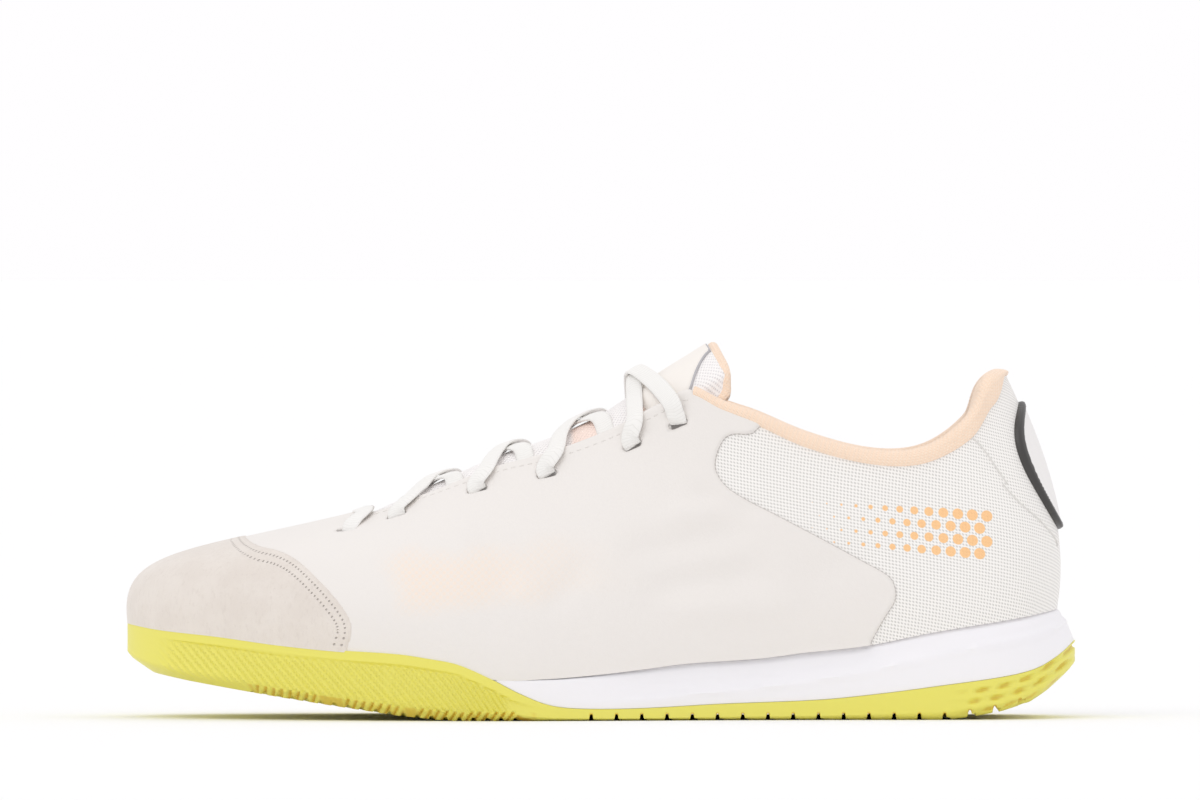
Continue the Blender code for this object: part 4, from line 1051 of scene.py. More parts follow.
def fine_tongue():
    """Rows of the tongue's outer face, smooth both ways, with the thickness of each row."""
    along_parts, across_parts = TONGUE_PARTS
    wide = [refined(row, across_parts) for row in tongue_rows()]
    rows = [list(row) for row in zip(*[refined(column, along_parts) for column in zip(*wide)])]
    ends = [1.0] * len(TONGUE) + [row[3] for row in TONGUE_END]
    coarse = [TONGUE_THICKNESS * (0.5 + 0.5 * blend(0, 4, index)) * end for index, end in enumerate(ends)]
    knots = list(range(len(coarse)))
    return rows, [smooth_curve(knots, coarse, step / along_parts) for step in range(len(rows))]


def row_normal(rows, row, column):
    ahead = rows[min(row + 1, len(rows) - 1)][column] - rows[max(row - 1, 0)][column]
    across = rows[row][min(column + 1, len(rows[0]) - 1)] - rows[row][max(column - 1, 0)]
    return ahead.cross(across).normalized()


def tongue_look():
    """White spacer mesh with small round openings with painted shade in them, and peach cloth between the
    laces.
    """
    look = Look("tongue_mesh", TONGUE_WHITE, 0.8, [("Sheen Weight", 0.2)])
    run = look.value("run") / 1000.0
    openings = dots(run, look.value("rise") / 1000.0, 0.0014, 0.0009, 0.00024, 0.00018)
    look.bump(openings, -0.00018)
    # painted shade: the tongue's dented openings are tinted grey where shade falls in them
    look.tint(openings * 0.35, linear(205, 200, 205))
    x, y, z = look.place()
    for start, end in TONGUE_PEACH:
        window = x.ramp(start, start + 0.002) * x.fall(end - 0.002, end)
        look.tint(window * (y < 0.0), linear(255, 232, 221))
    return look.finish


def build_tongue(rows, thicks):
    """Padded tongue with rounded sides."""
    last = len(rows[0]) - 1
    loops = []
    for row, points in enumerate(rows):
        inner = []
        for column, point in enumerate(points):
            border = min(column, last - column) / TONGUE_PARTS[1]
            depth = thicks[row] * (0.30 + 0.70 * blend(0.0, 2.0, border))
            inner.append(point - row_normal(rows, row, column) * depth)
        loops.append(points + inner[::-1])
    ends = [[point.lerp(across, 0.5) for point, across in zip(loop, loop[::-1])]
            for loop in (loops[0], loops[-1])]
    piece = grid_piece("tongue_pad", [ends[0]] + loops + [ends[1]], tongue_look(), closed=True)
    shoe_piece(piece, "tongue", slot="tongue_mesh")


def tube_along(name, path, radius, finish, sides=8):
    """Round tube along a path, with closed ends."""
    rings = []
    for index, point in enumerate(path):
        run = (path[min(index + 1, len(path) - 1)] - path[max(index - 1, 0)]).normalized()
        across = run.cross(UP).normalized()
        above = across.cross(run)
        turns = [math.tau * step / sides for step in range(sides)]
        rings.append([point + across * (radius * math.cos(turn)) + above * (radius * math.sin(turn))
                      for turn in turns])
    rings = [[path[0]] * sides] + rings + [[path[-1]] * sides]
    return grid_piece(name, rings, finish, closed=True, angle=0.0)


BINDING_ROUNDS = 10          # times that the binding's path is smoothed around the tongue's corners
BINDING_FIRST = 20           # rows of the tongue from its end back to the binding's start
BINDING_RADIUS = 0.0017


def build_binding(rows, thicks):
    """Peach binding folded over the tongue's free edge."""
    last = len(rows) - 1
    right = len(rows[0]) - 1
    spots = [(row, 0, 0.15) for row in range(last - BINDING_FIRST, last + 1)]
    spots += [(last, column, 0.5) for column in range(1, right)]
    spots += [(row, right, 0.15) for row in range(last, last - BINDING_FIRST - 1, -1)]
    path = [rows[row][column] - row_normal(rows, row, column) * thicks[row] * deep
            for row, column, deep in spots]
    for turn in range(BINDING_ROUNDS):
        middle = [(path[place - 1] + path[place] * 2.0 + path[place + 1]) / 4.0
                  for place in range(1, len(path) - 1)]
        path = path[:1] + middle + path[-1:]
    piece = tube_along("tongue_binding", path, BINDING_RADIUS, knit_look("tongue_binding"), sides=10)
    shoe_piece(piece, slot="collar_knit")


LACE_WIDTH = 0.0057
LACE_THICK = 0.0011
LACE_LOW = VAMP_LIFT + LACE_THICK / 2.0      # middle of a lace that lies on the overlay
LACE_UNDER = -UPPER_WALL - 0.0009            # and of one that runs under the eyestay
LACE_ARCH_IN = 0.22          # place of a run on the arch beside the crossing, out of its middle
LOOP_RISE = 0.0035           # how far the top crossing stands up


def lace_look():
    """Flat off-white lace woven in small chevrons."""
    look = Look("lace_weave", LACE_WHITE, 0.8, [("Sheen Weight", 0.2)])
    slant = look.value("run") / 1000.0 + look.value("across").math("ABSOLUTE") * 0.0008
    wave = ((slant / 0.0011).math("FRACT") - 0.5).math("ABSOLUTE")
    look.bump(wave, 0.00012)
    look.tint(wave.ramp(0.36, 0.5) * 0.35, linear(214, 211, 206))
    look.bump(look.noise(2600.0, 2.0), 0.00005)
    return look.finish


def lace_spot(turn, level, lift):
    return skin(turn, level, lift), wall_normal(turn, level)


def over_hole(index, side, lift, towards=0.0):
    """Place at a lace slot at a height over the cloth, moved up towards the throat's edge."""
    foot, level = LACE_HOLES[index]
    return lace_spot(side_turn(foot, side), min(level + towards, 1.0), lift)


def ridge(share, part, lift):
    """Place over the tongue's arch."""
    slope = crown_slope(share)
    up = Vector((-math.sin(slope), (part - 0.5) * 1.1, math.cos(slope))).normalized()
    return tongue_top(share, part) + up * lift, up


def lace_stops(first_side):
    """Places and normals along one half of the lace, from the front bar to its top slot."""
    side = first_side
    last = len(LACE_HOLES) - 1
    front = LACE_HOLES[0][0]
    stops = [
        ridge(front * 0.8, 0.5, 0.0022),
        lace_spot(side_turn(front, side), 0.99, LACE_LOW + 0.0008),
        over_hole(0, side, LACE_LOW + 0.0003, 0.045),
        over_hole(0, side, -0.0004, 0.004),
        over_hole(0, side, LACE_UNDER, 0.01),
        lace_spot(side_turn(front + 0.03, side), 1.0, LACE_UNDER),
    ]
    for index in range(1, last):
        before, here, after = [LACE_HOLES[place][0] for place in (index - 1, index, index + 1)]
        side = -side
        stops += [
            lace_spot(side_turn(here * 0.72 + before * 0.28, side), 1.0, LACE_UNDER),
            over_hole(index, side, LACE_UNDER, 0.012),
            over_hole(index, side, -0.0002),
            over_hole(index, side, LACE_LOW + 0.0004, 0.03),
            lace_spot(side_turn(here * 0.86 + after * 0.14, side), 0.995, LACE_LOW + 0.0006),
        ]
        top = index == last - 1
        crosses_under = (first_side * (-1) ** index > 0) != top
        lift = 0.0012 if crosses_under else 0.0026
        for off in (side * LACE_ARCH_IN, 0.0, -side * LACE_ARCH_IN):
            share = here + (after - here) * (0.5 - off * side)
            middle = lift + (LOOP_RISE if top else 0.0)
            stops.append(ridge(share, 0.5 + off, (lift + 0.0012) / 2.0 if off else middle))
    turn = side_turn(LACE_HOLES[last][0] * 0.9 + LACE_HOLES[last - 1][0] * 0.1, -side)
    return stops + [
        lace_spot(turn, 0.995, LACE_LOW + 0.0007),
        over_hole(last, -side, LACE_LOW + 0.0004, 0.03),
        over_hole(last, -side, -0.0004, 0.002),
        over_hole(last, -side, -UPPER_WALL - 0.0012),
    ]


def slab(turn):
    """Place on the rounded section of a flat lace, each way from -1 to 1."""
    x, z = math.cos(turn), math.sin(turn)
    return math.copysign(abs(x) ** 0.6, x), math.copysign(abs(z) ** 0.8, z)


LACE_SECTION = [slab(math.tau * step / 12) for step in range(12)]
LACE_PARTS = 7


def build_laces():
    """Both halves of the lace: flat bands through the slots and over the tongue."""
    finish = lace_look()
    for name, first_side in (("lace_lateral_start", -1), ("lace_medial_start", 1)):
        path, normals = [refined(column, LACE_PARTS) for column in zip(*lace_stops(first_side))]
        rows = []
        for index, point in enumerate(path):
            run = (path[min(index + 1, len(path) - 1)] - path[max(index - 1, 0)]).normalized()
            wide = run.cross(normals[index]).normalized()
            normal = wide.cross(run).normalized()
            rows.append([point + wide * (x * LACE_WIDTH / 2.0) + normal * (z * LACE_THICK / 2.0)
                         for x, z in LACE_SECTION])
        piece = grid_piece(name, rows, finish, closed=True, angle=0.0)
        attribute(piece, "across", [x for x, z in LACE_SECTION] * len(rows))
        shoe_piece(piece, "lace", slot="lace_weave")


RIB_START = 0.034            # shares of the length between which the side is ribbed
RIB_END = 0.4135
RIB_PITCH = 0.0026
RIB_DEPTH = 0.00075
RIB_SLANT = 0.95
RIB_FOOT = (0.05, 0.16)      # shares of the side's height where the ribs begin
RIB_WINDOW = ((RIB_START - 0.01, RIB_START + 0.02), (RIB_END - 0.02, RIB_END))
LUG_START = 0.487
LUG_END = 0.937
LUG_COUNT = 17
LUG_STEP = (LUG_END - LUG_START) / LUG_COUNT
LUG_GAP = 0.0016
LUG_DEPTH = 0.0021
LUG_WALL = 0.0005            # run of a lug's sloping end
LUG_PAST = 0.008             # share of the length that the grooves go on behind the last lug
SERRATION_START = 0.134
SERRATION_PITCH = 0.0042
SERRATION_DEPTH = 0.0010
SERRATION_SWAY = 0.0016
SERRATION = ((0.30, 0.42), (0.58, 0.70))
BAND_HEIGHT = 0.0030
BAND_STEP = 0.0009
BAND_MOST_SHARE = 0.35       # most of the side's height that the band takes
BAND_WINDOW = ((0.02, 0.06), (0.40, 0.44))
LIP_HEIGHT = 0.0030         # tread pods that show on the side under the ribs
LIP_OUT = 0.0006
LIP_GROOVE = 0.0010
LIP_PITCH = 0.0025
LIP_SLANT = 0.7
LIP_PHASE = ((0.0, 0.22), (0.38, 0.60))
LIP_WINDOW = ((0.122, 0.132), (0.430, 0.438))
PODS = (
    # start, end
    (0.130, 0.206), (0.226, 0.296), (0.304, 0.432),
)
POD_GAP = 0.6               # depth and painted shade of the gaps between the pods, as a share of their grooves
POD_END = 0.006
HEEL_DENT = 0.0010          # oval dents on the heel's curve
HEEL_DENT_START = 0.86
HEEL_DENT_PITCH = 0.0068
HEEL_DENT_ROW = 0.0030
HEEL_DENT_HEIGHTS = ((0.0004, 0.0012), (0.0085, 0.0100))
LOW_RISE = 0.22             # share of the side's height where it begins to tuck in
RISES = (1.0, 0.99, 0.96, 0.91, 0.87, 0.84, 0.81, 0.78, 0.74, 0.69, 0.64, 0.59, 0.54, 0.49, 0.44,
         0.39, 0.34, 0.30, 0.26, 0.22, 0.18, 0.145, 0.11, 0.08, 0.05, 0.025, 0.008, 0.0)
HEEL_SHARES = [0.950, 0.957, 0.964, 0.970, 0.976, 0.981, 0.986, 0.990, 0.994, 0.997, 0.9992]
TREAD_PARTS = 28


def tread_cut(x, across):
    """Depth of the tread's grooves into the sole from below; across is -1 to 1 over the width."""
    share = share_at(x)
    if SERRATION_START <= share < RIB_END:
        phase = (x + SERRATION_SWAY * math.cos(across * 9.0)) / SERRATION_PITCH % 1.0
        return SERRATION_DEPTH * between(*SERRATION, phase)
    if LUG_START < share < LUG_END + LUG_PAST:
        run = (share - LUG_START) / LUG_STEP % 1.0 * LUG_STEP * LENGTH
        cut = between((0.0, LUG_WALL), (LUG_GAP - LUG_WALL, LUG_GAP), run)
        return LUG_DEPTH * max(cut, 1.0 - blend(0.10, 0.14, abs(across)))
    return 0.0


def outsole_stations():
    """Shares of the length, close together where ribs, serrations and lugs are."""
    shares = [0.0004, 0.002, 0.005, 0.009, 0.014, 0.020, 0.027]
    share = RIB_START
    while share < RIB_END:
        shares.append(share)
        share += RIB_PITCH / LENGTH / 6.0
    shares += [0.42 + 0.01 * step for step in range(7)]
    gap = LUG_GAP / LENGTH
    for index in range(LUG_COUNT + 1):
        place = LUG_START + index * LUG_STEP
        shares += [place + gap * part for part in (0.0, 0.13, 0.26, 0.5, 0.74, 0.87, 1.0)]
        if index < LUG_COUNT:
            shares += [place + gap + (LUG_STEP - gap) * part for part in (0.25, 0.5, 0.75)]
    return shares + HEEL_SHARES


def ring_turns(shares):
    lateral = [turn_of(share) for share in shares]
    return [0.0] + lateral + [math.pi] + [math.tau - turn for turn in reversed(lateral)]


def rib_wave(share, down):
    """Height of the slanting ribs at a share of the length and a height below the band."""
    phase = ((share - RIB_START) * LENGTH - RIB_SLANT * down) / RIB_PITCH % 1.0
    return (0.5 - 0.5 * math.cos(math.tau * phase)) * between(*RIB_WINDOW, share)


def pod_groove(share, height):
    """Depth share of the slanting grooves and gaps of the tread pods, seen from the side."""
    inside = max(between((start, start + POD_END), (end - POD_END, end), share) for start, end in PODS)
    phase = (share * LENGTH - LIP_SLANT * height) / LIP_PITCH % 1.0
    return max(between(*LIP_PHASE, phase) * inside, POD_GAP * (1.0 - inside) * between(*LIP_WINDOW, share))


def heel_dent(share, height):
    """Depth share of the staggered oval dents on the heel's upward curve."""
    row = height / HEEL_DENT_ROW
    column = share * LENGTH / HEEL_DENT_PITCH + 0.5 * (int(row) % 2) + row * 0.15
    z = (row % 1.0 - 0.5) * 2.0
    x = (column % 1.0 - 0.5) * 2.0 - 0.35 * z
    oval = 1.0 - blend(0.35, 0.95, math.hypot(x, z * 1.2))
    return oval * blend(HEEL_DENT_START, HEEL_DENT_START + 0.04, share)


def outsole_side(turn, rise):
    """Point on the outsole's side at a share of its height, and how deep it lies in the tread."""
    share = folded_share(turn)
    top = rim_top(share)
    height = top - underside(share)
    low = height * rise
    tuck = (UNDER_INSET + UNDER_TUCK * tip_factor(turn)) * max(1.0 - rise / LOW_RISE, 0.0) ** 1.6
    band = 1.0 - min(BAND_HEIGHT, BAND_MOST_SHARE * height) / height
    step = BAND_STEP * between(*BAND_WINDOW, share) * (1.0 - blend(band - 0.03, band + 0.01, rise))
    ribs = RIB_DEPTH * rib_wave(share, height - low)
    ribs *= between(RIB_FOOT, (band - 0.06, band - 0.01), rise)
    lip = 1.0 - blend(LIP_HEIGHT * 0.85, LIP_HEIGHT, low)
    groove = pod_groove(share, low) * lip
    dent = heel_dent(share, low) * between(*HEEL_DENT_HEIGHTS, low)
    lip_out = LIP_OUT * lip * between(*LIP_WINDOW, share)
    place = inset_place(turn, tuck + step - ribs - lip_out + LIP_GROOVE * groove + HEEL_DENT * dent)
    under = underside(share_at(place.x))
    cut = tread_cut(place.x, 1.0) * (1.0 - blend(0.0018, 0.0030, low))
    # how deep a place lies in the tread, which also sets the painted shade there; the heel's dents get a
    # weaker share
    deep = max(groove, 0.6 * dent, cut / LUG_DEPTH)
    return Vector((place.x, place.y, max(under + (top - under) * rise, under + cut))), deep


def rubber_look():
    """Pale yellow rubber, slightly waxy, with painted shade in darker orange in its grooves, notches and
    dents.
    """
    look = Look("outsole_rubber", RUBBER, 0.45, [("Subsurface Weight", 0.08), ("Subsurface Scale", 0.6),
                                                 ("Subsurface Radius", (0.004, 0.004, 0.001))])
    # painted shade: darker orange the deeper a place lies in the tread
    look.tint(look.value("deep").ramp(0.15, 0.9) * 0.75, linear(214, 168, 24))
    look.bump(look.noise(900.0, 3.0), 0.00003)
    return look.finish


def build_outsole():
    """Rubber cup with fine ribs on its side and the whole tread below."""
    turns = ring_turns(outsole_stations())
    count = len(turns)
    inside = [inset_place(turn, RIM_WALL) for turn in turns]
    points = [Vector((place.x, place.y, underside(share_at(place.x)) + OUTSOLE_BASE)) for place in inside]
    points += [Vector((place.x, place.y, rim_top(folded_share(turn)))) for place, turn in zip(inside, turns)]
    deeps = [0.0] * (2 * count)
    for rise in RISES:
        for turn in turns:
            place, deep = outsole_side(turn, rise)
            points.append(place)
            deeps.append(deep)
    faces = grid_faces(len(RISES) + 2, count)
    base = (len(RISES) + 1) * count
    half = count // 2
    rungs = [[base] * (TREAD_PARTS + 1)]
    for index in range(1, half):
        row = [base + index]
        for part in range(1, TREAD_PARTS):
            share = part / TREAD_PARTS
            place = points[base + index].lerp(points[base + count - index], share)
            cut = tread_cut(place.x, share * 2.0 - 1.0)
            place.z = underside(share_at(place.x)) + cut
            row.append(len(points))
            points.append(place)
            deeps.append(cut / LUG_DEPTH)
        rungs.append(row + [base + count - index])
    rungs.append([base + half] * (TREAD_PARTS + 1))
    for low, high in zip(rungs, rungs[1:]):
        for part in range(TREAD_PARTS):
            face = list(dict.fromkeys([low[part], low[part + 1], high[part + 1], high[part]]))
            if len(face) > 2:
                faces.append(face)
    piece = new_mesh("outsole_rubber_cup", points, faces, rubber_look(), angle=35.0)
    attribute(piece, "deep", deeps)
    shoe_piece(piece, "outsole", slot="outsole_rubber")


MIDSOLE_START = 0.387
MIDSOLE_RISES = (0.0, 0.04, 0.10, 0.18, 0.26, 0.34, 0.42, 0.50, 0.58, 0.66, 0.74, 0.82, 0.90, 0.95,
                 0.98, 1.0)
FACET_DEPTH = 0.0006
FACET_RIDGE = 0.0004
FOAM_CORNER = 0.0019
CUP_INSET = RIM_WALL + CLEARANCE
HEEL_RIM = 0.001             # midsole's top rim in from the heel's lean


def midsole_inset(share, rise):
    """How far the foam's side lies in from the outline: soft facets that climb to the heel."""
    lower = 0.20 + 0.40 * blend(0.50, 0.95, share)
    upper = 0.42 + 0.42 * blend(0.62, 1.00, share)
    facets = FACET_DEPTH * (blend(lower - 0.02, lower + 0.14, rise) + blend(upper, upper + 0.16, rise))
    ridge_out = FACET_RIDGE * math.exp(-((rise - lower) / 0.06) ** 2)
    corner = FOAM_CORNER * max((rise - 0.86) / 0.14, 0.0) ** 2.5
    return CLEARANCE + (facets - ridge_out) * blend(0.45, 0.60, share) + corner


def foam_look():
    look = Look("midsole_foam", FOAM, 0.5, [("Subsurface Weight", 0.08), ("Subsurface Scale", 0.5),
                                            ("Subsurface Radius", (0.003, 0.003, 0.003))])
    look.bump(look.noise(1100.0, 3.0), 0.00002)
    return look.finish


def ring_piece(name, rows, finish):
    """Closed solid from the sections at each turn, with rungs across the first and the last ring."""
    count = len(rows)
    points = [point for ring in zip(*rows) for point in ring]
    faces = [(low, high, after, beside) for low, beside, after, high in grid_faces(len(rows[0]), count)]
    half = count // 2
    for start in (0, len(points) - count):
        end = start + count
        faces.append((start, start + 1, end - 1))
        for index in range(1, half - 1):
            faces.append((start + index, start + index + 1, end - index - 1, end - index))
        faces.append((start + half - 1, start + half, start + half + 1))
    return new_mesh(name, points, faces, finish, 40.0)


def build_midsole():
    """Foam midsole: inside the rubber cup at the front, out to the full outline behind it."""
    shares = [0.003, 0.012, 0.027, 0.048, 0.080, 0.120, 0.170, 0.220, 0.280, 0.335, 0.375, 0.392]
    shares += [0.396 + 0.0055 * step for step in range(100)] + HEEL_SHARES
    rows = []
    for turn in ring_turns(shares):
        share = folded_share(turn)
        out = blend(MIDSOLE_START - 0.002, MIDSOLE_START + 0.002, share)
        lean = HEEL_LEAN * heel_factor(turn)
        top = sole_top(share)
        ledge = min(rim_top(share) + 0.0001, top - 0.0008)
        low = inset_place(turn, CUP_INSET)
        row = [Vector((*low, underside(share_at(low.x)) + OUTSOLE_BASE + CLEARANCE)),
               Vector((*low, ledge - CLEARANCE * out))]
        for rise in MIDSOLE_RISES:
            inset = midsole_inset(share, rise) + lean * rise
            place = inset_place(turn, inset * out + CUP_INSET * (1.0 - out))
            row.append(Vector((*place, ledge + (top - ledge) * rise)))
        rim = max(CUP_INSET, lean + HEEL_RIM) + BED_LEDGE
        bed = inset_place(turn, rim + BED_SLOPE)
        row.append(Vector((*inset_place(turn, rim), top)))
        row.append(Vector((*bed, min(foot_bed(share_at(bed.x)), top - 0.0005))))
        rows.append(row)
    piece = ring_piece("midsole_foam_body", rows, foam_look())
    shoe_piece(piece, "midsole", slot="midsole_foam")


INSOLE_SECTION = (
    # inset, rise
    (0.0, 0.0), (0.0, 0.7), (0.0004, 0.92), (0.0014, 1.0),
)


def build_insole():
    """Foam insole with a woven top."""
    shares = [0.004, 0.010, 0.020, 0.035, 0.055] + [0.08 + 0.02 * step for step in range(44)]
    rows = []
    for turn in ring_turns(shares + [0.955, 0.968, 0.979, 0.988, 0.995]):
        lean = HEEL_LEAN * heel_factor(turn)
        base = max(CUP_INSET, lean + HEEL_RIM) + BED_LEDGE + BED_SLOPE + 2.0 * CLEARANCE
        row = []
        for inset, rise in INSOLE_SECTION:
            place = inset_place(turn, base + inset)
            row.append(Vector((*place, foot_bed(share_at(place.x)) + CLEARANCE + INSOLE_THICKNESS * rise)))
        rows.append(row)
    look = Look("insole_fabric", linear(226, 222, 217), 0.9)
    look.bump(look.noise(1800.0, 2.0), 0.0001)
    piece = ring_piece("insole_board", rows, look.finish)
    shoe_piece(piece, "insole", slot="insole_foam")


SIDE_GRIDS = {}
GRID_TURNS = 90
GRID_LEVELS = 30
LOCATE_TRIES = 12
LOCATE_STEP = 0.02
LOCATE_NARROW = 0.7


def locate(x, z, side):
    """Turn and level of the upper's surface that show at a place in the side view."""
    if side not in SIDE_GRIDS:
        SIDE_GRIDS[side] = [(side_turn(step / GRID_TURNS, side), level / GRID_LEVELS)
                            for step in range(1, GRID_TURNS) for level in range(GRID_LEVELS + 1)]
        SIDE_GRIDS[side] = [(*spot, wall_point(*spot)) for spot in SIDE_GRIDS[side]]

    def miss(place):
        return (place.x - x) ** 2 + (place.z - z) ** 2

    turn, level = min(SIDE_GRIDS[side], key=lambda entry: miss(entry[2]))[:2]
    step = LOCATE_STEP
    for attempt in range(LOCATE_TRIES):
        near = [(turn + a * step, min(max(level + b * step, 0.0), 1.0))
                for a in (-1, 0, 1) for b in (-1, 0, 1)]
        turn, level = min(near, key=lambda spot: miss(wall_point(*spot)))
        step *= LOCATE_NARROW
    return turn, level


SEAMS = (
    # fine seams of the quarter in the side view: rows of along, height
    ((0.888, 0.812), (0.902, 0.772), (0.916, 0.716), (0.927, 0.672)),
    ((0.922, 0.672), (0.940, 0.618), (0.964, 0.560), (0.984, 0.494)),
)
SEAM_LIFT = 0.00005
SEAM_RADIUS = 0.00028


def build_seams():
    """Fine sewn seams of the quarter as thin cords half sunk in the cloth."""
    look = Look("seam_thread", linear(226, 223, 219), 0.8)
    for side, label in ((-1, "lateral"), (1, "medial")):
        for number, rows in enumerate(SEAMS):
            path = [skin(*locate(x, z, side), SEAM_LIFT) for x, z in fine_line(rows, 6)]
            piece = tube_along(f"seam_{label}_{number}", path, SEAM_RADIUS, look.finish, 6)
            shoe_piece(piece, slot="upper_mesh")


EYESTAY_IN = 0.0022          # stitch row in from the throat's edge
EYESTAY_FEET = (0.02, 0.60)  # shares of the length where the row starts, and that it spans
STITCH_PITCH = 0.0026
STITCH_LENGTH = 0.0016
STITCH_WIDE = 0.00024        # half width and half height of a stitch
STITCH_HIGH = 0.00020
STITCH_SIDES = 6
STITCH_STEPS = 1200
STITCH_SECTIONS = (
    # part of the length, share of the width
    (-0.5, 0.0), (-0.38, 0.8), (0.0, 1.0), (0.38, 0.8), (0.5, 0.0),
)


def stitch_points(place, run, normal):
    """Rings of a spindle along a run."""
    across = run.cross(normal)
    points = []
    for part, wide in STITCH_SECTIONS:
        for corner in range(STITCH_SIDES):
            swing = math.tau * corner / STITCH_SIDES
            offset = across * (STITCH_WIDE * wide * math.cos(swing))
            offset += normal * (STITCH_HIGH * wide * math.sin(swing))
            points.append(place + run * (part * STITCH_LENGTH) + offset)
    return points


def build_stitches():
    """Row of short stitches along the throat on both sides, joined in one mesh."""
    points, faces = [], []
    for side in (-1, 1):
        travelled = 0.0
        before = None
        for step in range(STITCH_STEPS):
            turn = side_turn(EYESTAY_FEET[0] + EYESTAY_FEET[1] * step / STITCH_STEPS, side)
            foot_point, low, high, edge = wall_curve(turn)
            level = 1.0 - EYESTAY_IN / (3.0 * (edge - high).length)
            place = skin(turn, level, VAMP_LIFT)
            travelled += (place - before).length if before else 0.0
            if travelled >= STITCH_PITCH:
                travelled -= STITCH_PITCH
                faces += grid_faces(len(STITCH_SECTIONS), STITCH_SIDES, start=len(points))
                points += stitch_points(place, (place - before).normalized(), wall_normal(turn, level))
            before = place
    look = Look("stitch_thread", linear(232, 228, 223), 0.7)
    shoe_piece(new_mesh("eyestay_stitches", points, faces, look.finish, 0.0), slot="vamp_leather")


LABEL_ROWS = (0.70, 0.975)       # shares of the tongue's length that the label covers
LABEL_HALF = (0.40, 0.13)        # its half width at its lower and its upper end, of the tongue's width
LABEL_LIFT = 0.0007
LABEL_BASE = 0.0001
LABEL_STEPS = 28
LABEL_ACROSS = 16
CORD_LIFT = 0.0003
CORD_RADIUS = 0.0004


def label_spot(rows, part, across, lift):
    """Point over the tongue at a share of the label's length and of its half width."""
    low, high = LABEL_HALF
    start, end = LABEL_ROWS
    row = (start + (end - start) * part) * (len(rows) - 1)
    column = (0.5 + across * (low + (high - low) * blend(0.0, 1.0, part))) * (len(rows[0]) - 1)
    low_row, low_column = int(row), int(column)
    near, far = [line[low_column].lerp(line[low_column + 1], column - low_column)
                 for line in rows[low_row:low_row + 2]]
    return near.lerp(far, row - low_row) + row_normal(rows, low_row, low_column) * lift


def build_label(rows):
    """Plain smooth label on the tongue, with a grey cord along its border."""
    grid = []
    for part in levels_between(0.0, 1.0, LABEL_STEPS):
        line = []
        for share in levels_between(-1.0, 1.0, 2 * LABEL_ACROSS):
            lift = LABEL_LIFT * (1.0 - blend(0.88, 1.0, abs(share))) * blend(0.0, 0.06, part)
            line.append(label_spot(rows, part, share, lift + LABEL_BASE))
        grid.append(line)
    look = Look("tongue_label", linear(246, 240, 234), 0.45)
    look.bump(look.noise(900.0, 2.0), 0.00002)
    shoe_piece(grid_piece("tongue_label_plain", grid, look.finish), slot="tongue_mesh")
    border = [(part, -1.0) for part in levels_between(0.0, 1.0, LABEL_STEPS)]
    border += [(1.0, step / 6.0 - 1.0) for step in range(1, 12)]
    border += [(part, 1.0) for part in levels_between(1.0, 0.0, LABEL_STEPS)]
    path = [label_spot(rows, part, across, CORD_LIFT) for part, across in border]
    cord = Look("label_cord", linear(186, 184, 187), 0.6)
    shoe_piece(tube_along("tongue_label_cord", path, CORD_RADIUS, cord.finish), slot="tongue_mesh")


FLOOR = linear(250, 250, 250)
FLOOR_SIZE = 60.0
FLOOR_BEHIND = 20.0
SURROUND = 0.86
SUNS = (
    # name, from, width in degrees, strength
    ("key", (-0.5, -0.7, 1.0), 40.0, 0.40),
    ("top", (0.2, 0.3, 1.0), 60.0, 0.35),
)
CAMERA_RISE = 0.5           # degrees over the horizon
CAMERA_AWAY = 6.0
CAMERA_AIM = Vector((-0.0003, SIDE_SHIFT, 0.0963))
SENSOR = 36.0
FRAME_WIDTH = 1200.0 * LENGTH / 948.0    # the photo's width at the shoe, which is 948 of 1200 pixels long


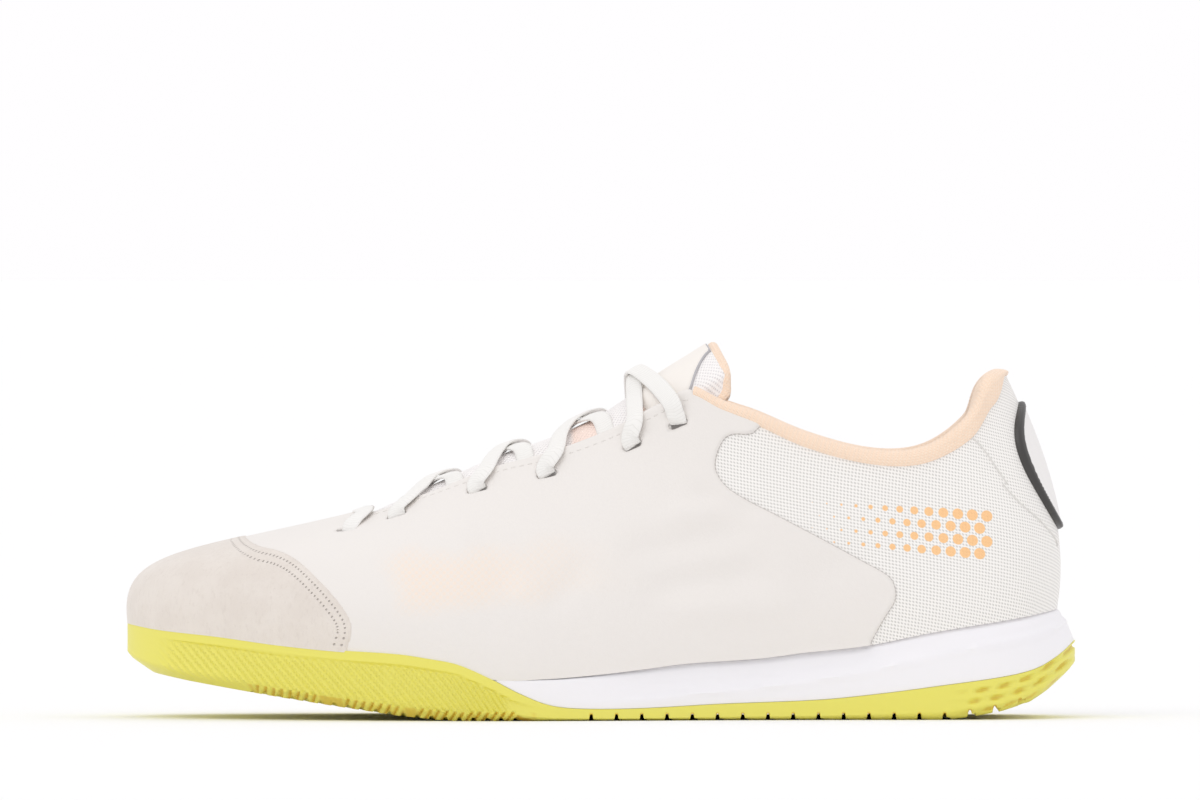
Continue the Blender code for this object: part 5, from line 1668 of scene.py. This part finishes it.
def build_stage():
    """Pale floor and backdrop, soft studio light and the camera."""
    scene = bpy.context.scene
    bpy.ops.mesh.primitive_plane_add(size=FLOOR_SIZE, location=(0.0, FLOOR_BEHIND, 0.0))
    floor = bpy.context.object
    floor.name = "stage_floor"
    floor.data.materials.append(Look("stage_white", FLOOR, 0.9).finish)
    scene.world = bpy.data.worlds.new("studio")
    scene.world.use_nodes = True
    tree = scene.world.node_tree
    surround = tree.nodes["Background"]
    surround.inputs["Color"].default_value = (1.0, 0.995, 1.0, 1.0)
    surround.inputs["Strength"].default_value = SURROUND
    seen = tree.nodes.new("ShaderNodeBackground")
    seen.inputs["Color"].default_value = (1.0, 0.99, 1.0, 1.0)
    ray = tree.nodes.new("ShaderNodeLightPath")
    pick = tree.nodes.new("ShaderNodeMixShader")
    sources = (ray.outputs["Is Camera Ray"], surround.outputs[0], seen.outputs[0])
    for source, target in zip(sources, pick.inputs):
        tree.links.new(source, target)
    tree.links.new(pick.outputs[0], tree.nodes["World Output"].inputs["Surface"])
    for name, spot, wide, strength in SUNS:
        data = bpy.data.lights.new(name, "SUN")
        data.energy = strength
        data.angle = math.radians(wide)
        lamp = bpy.data.objects.new(name, data)
        scene.collection.objects.link(lamp)
        lamp.rotation_euler = (-Vector(spot)).to_track_quat("-Z", "Y").to_euler()
    data = bpy.data.cameras.new("camera")
    data.sensor_width = SENSOR
    data.lens = SENSOR * CAMERA_AWAY / FRAME_WIDTH
    camera = bpy.data.objects.new("camera", data)
    scene.collection.objects.link(camera)
    rise = math.radians(CAMERA_RISE)
    camera.location = CAMERA_AIM + Vector((0.0, -math.cos(rise), math.sin(rise))) * CAMERA_AWAY
    camera.rotation_euler = (math.radians(90.0) - rise, 0.0, 0.0)
    scene.camera = camera
    scene.view_settings.view_transform = "Standard"


def main():
    build_upper()
    build_panels()
    build_collar()
    rows, thicks = fine_tongue()
    build_tongue(rows, thicks)
    build_binding(rows, thicks)
    build_label(rows)
    build_seams()
    build_stitches()
    build_laces()
    build_outsole()
    build_midsole()
    build_insole()
    build_stage()


main()
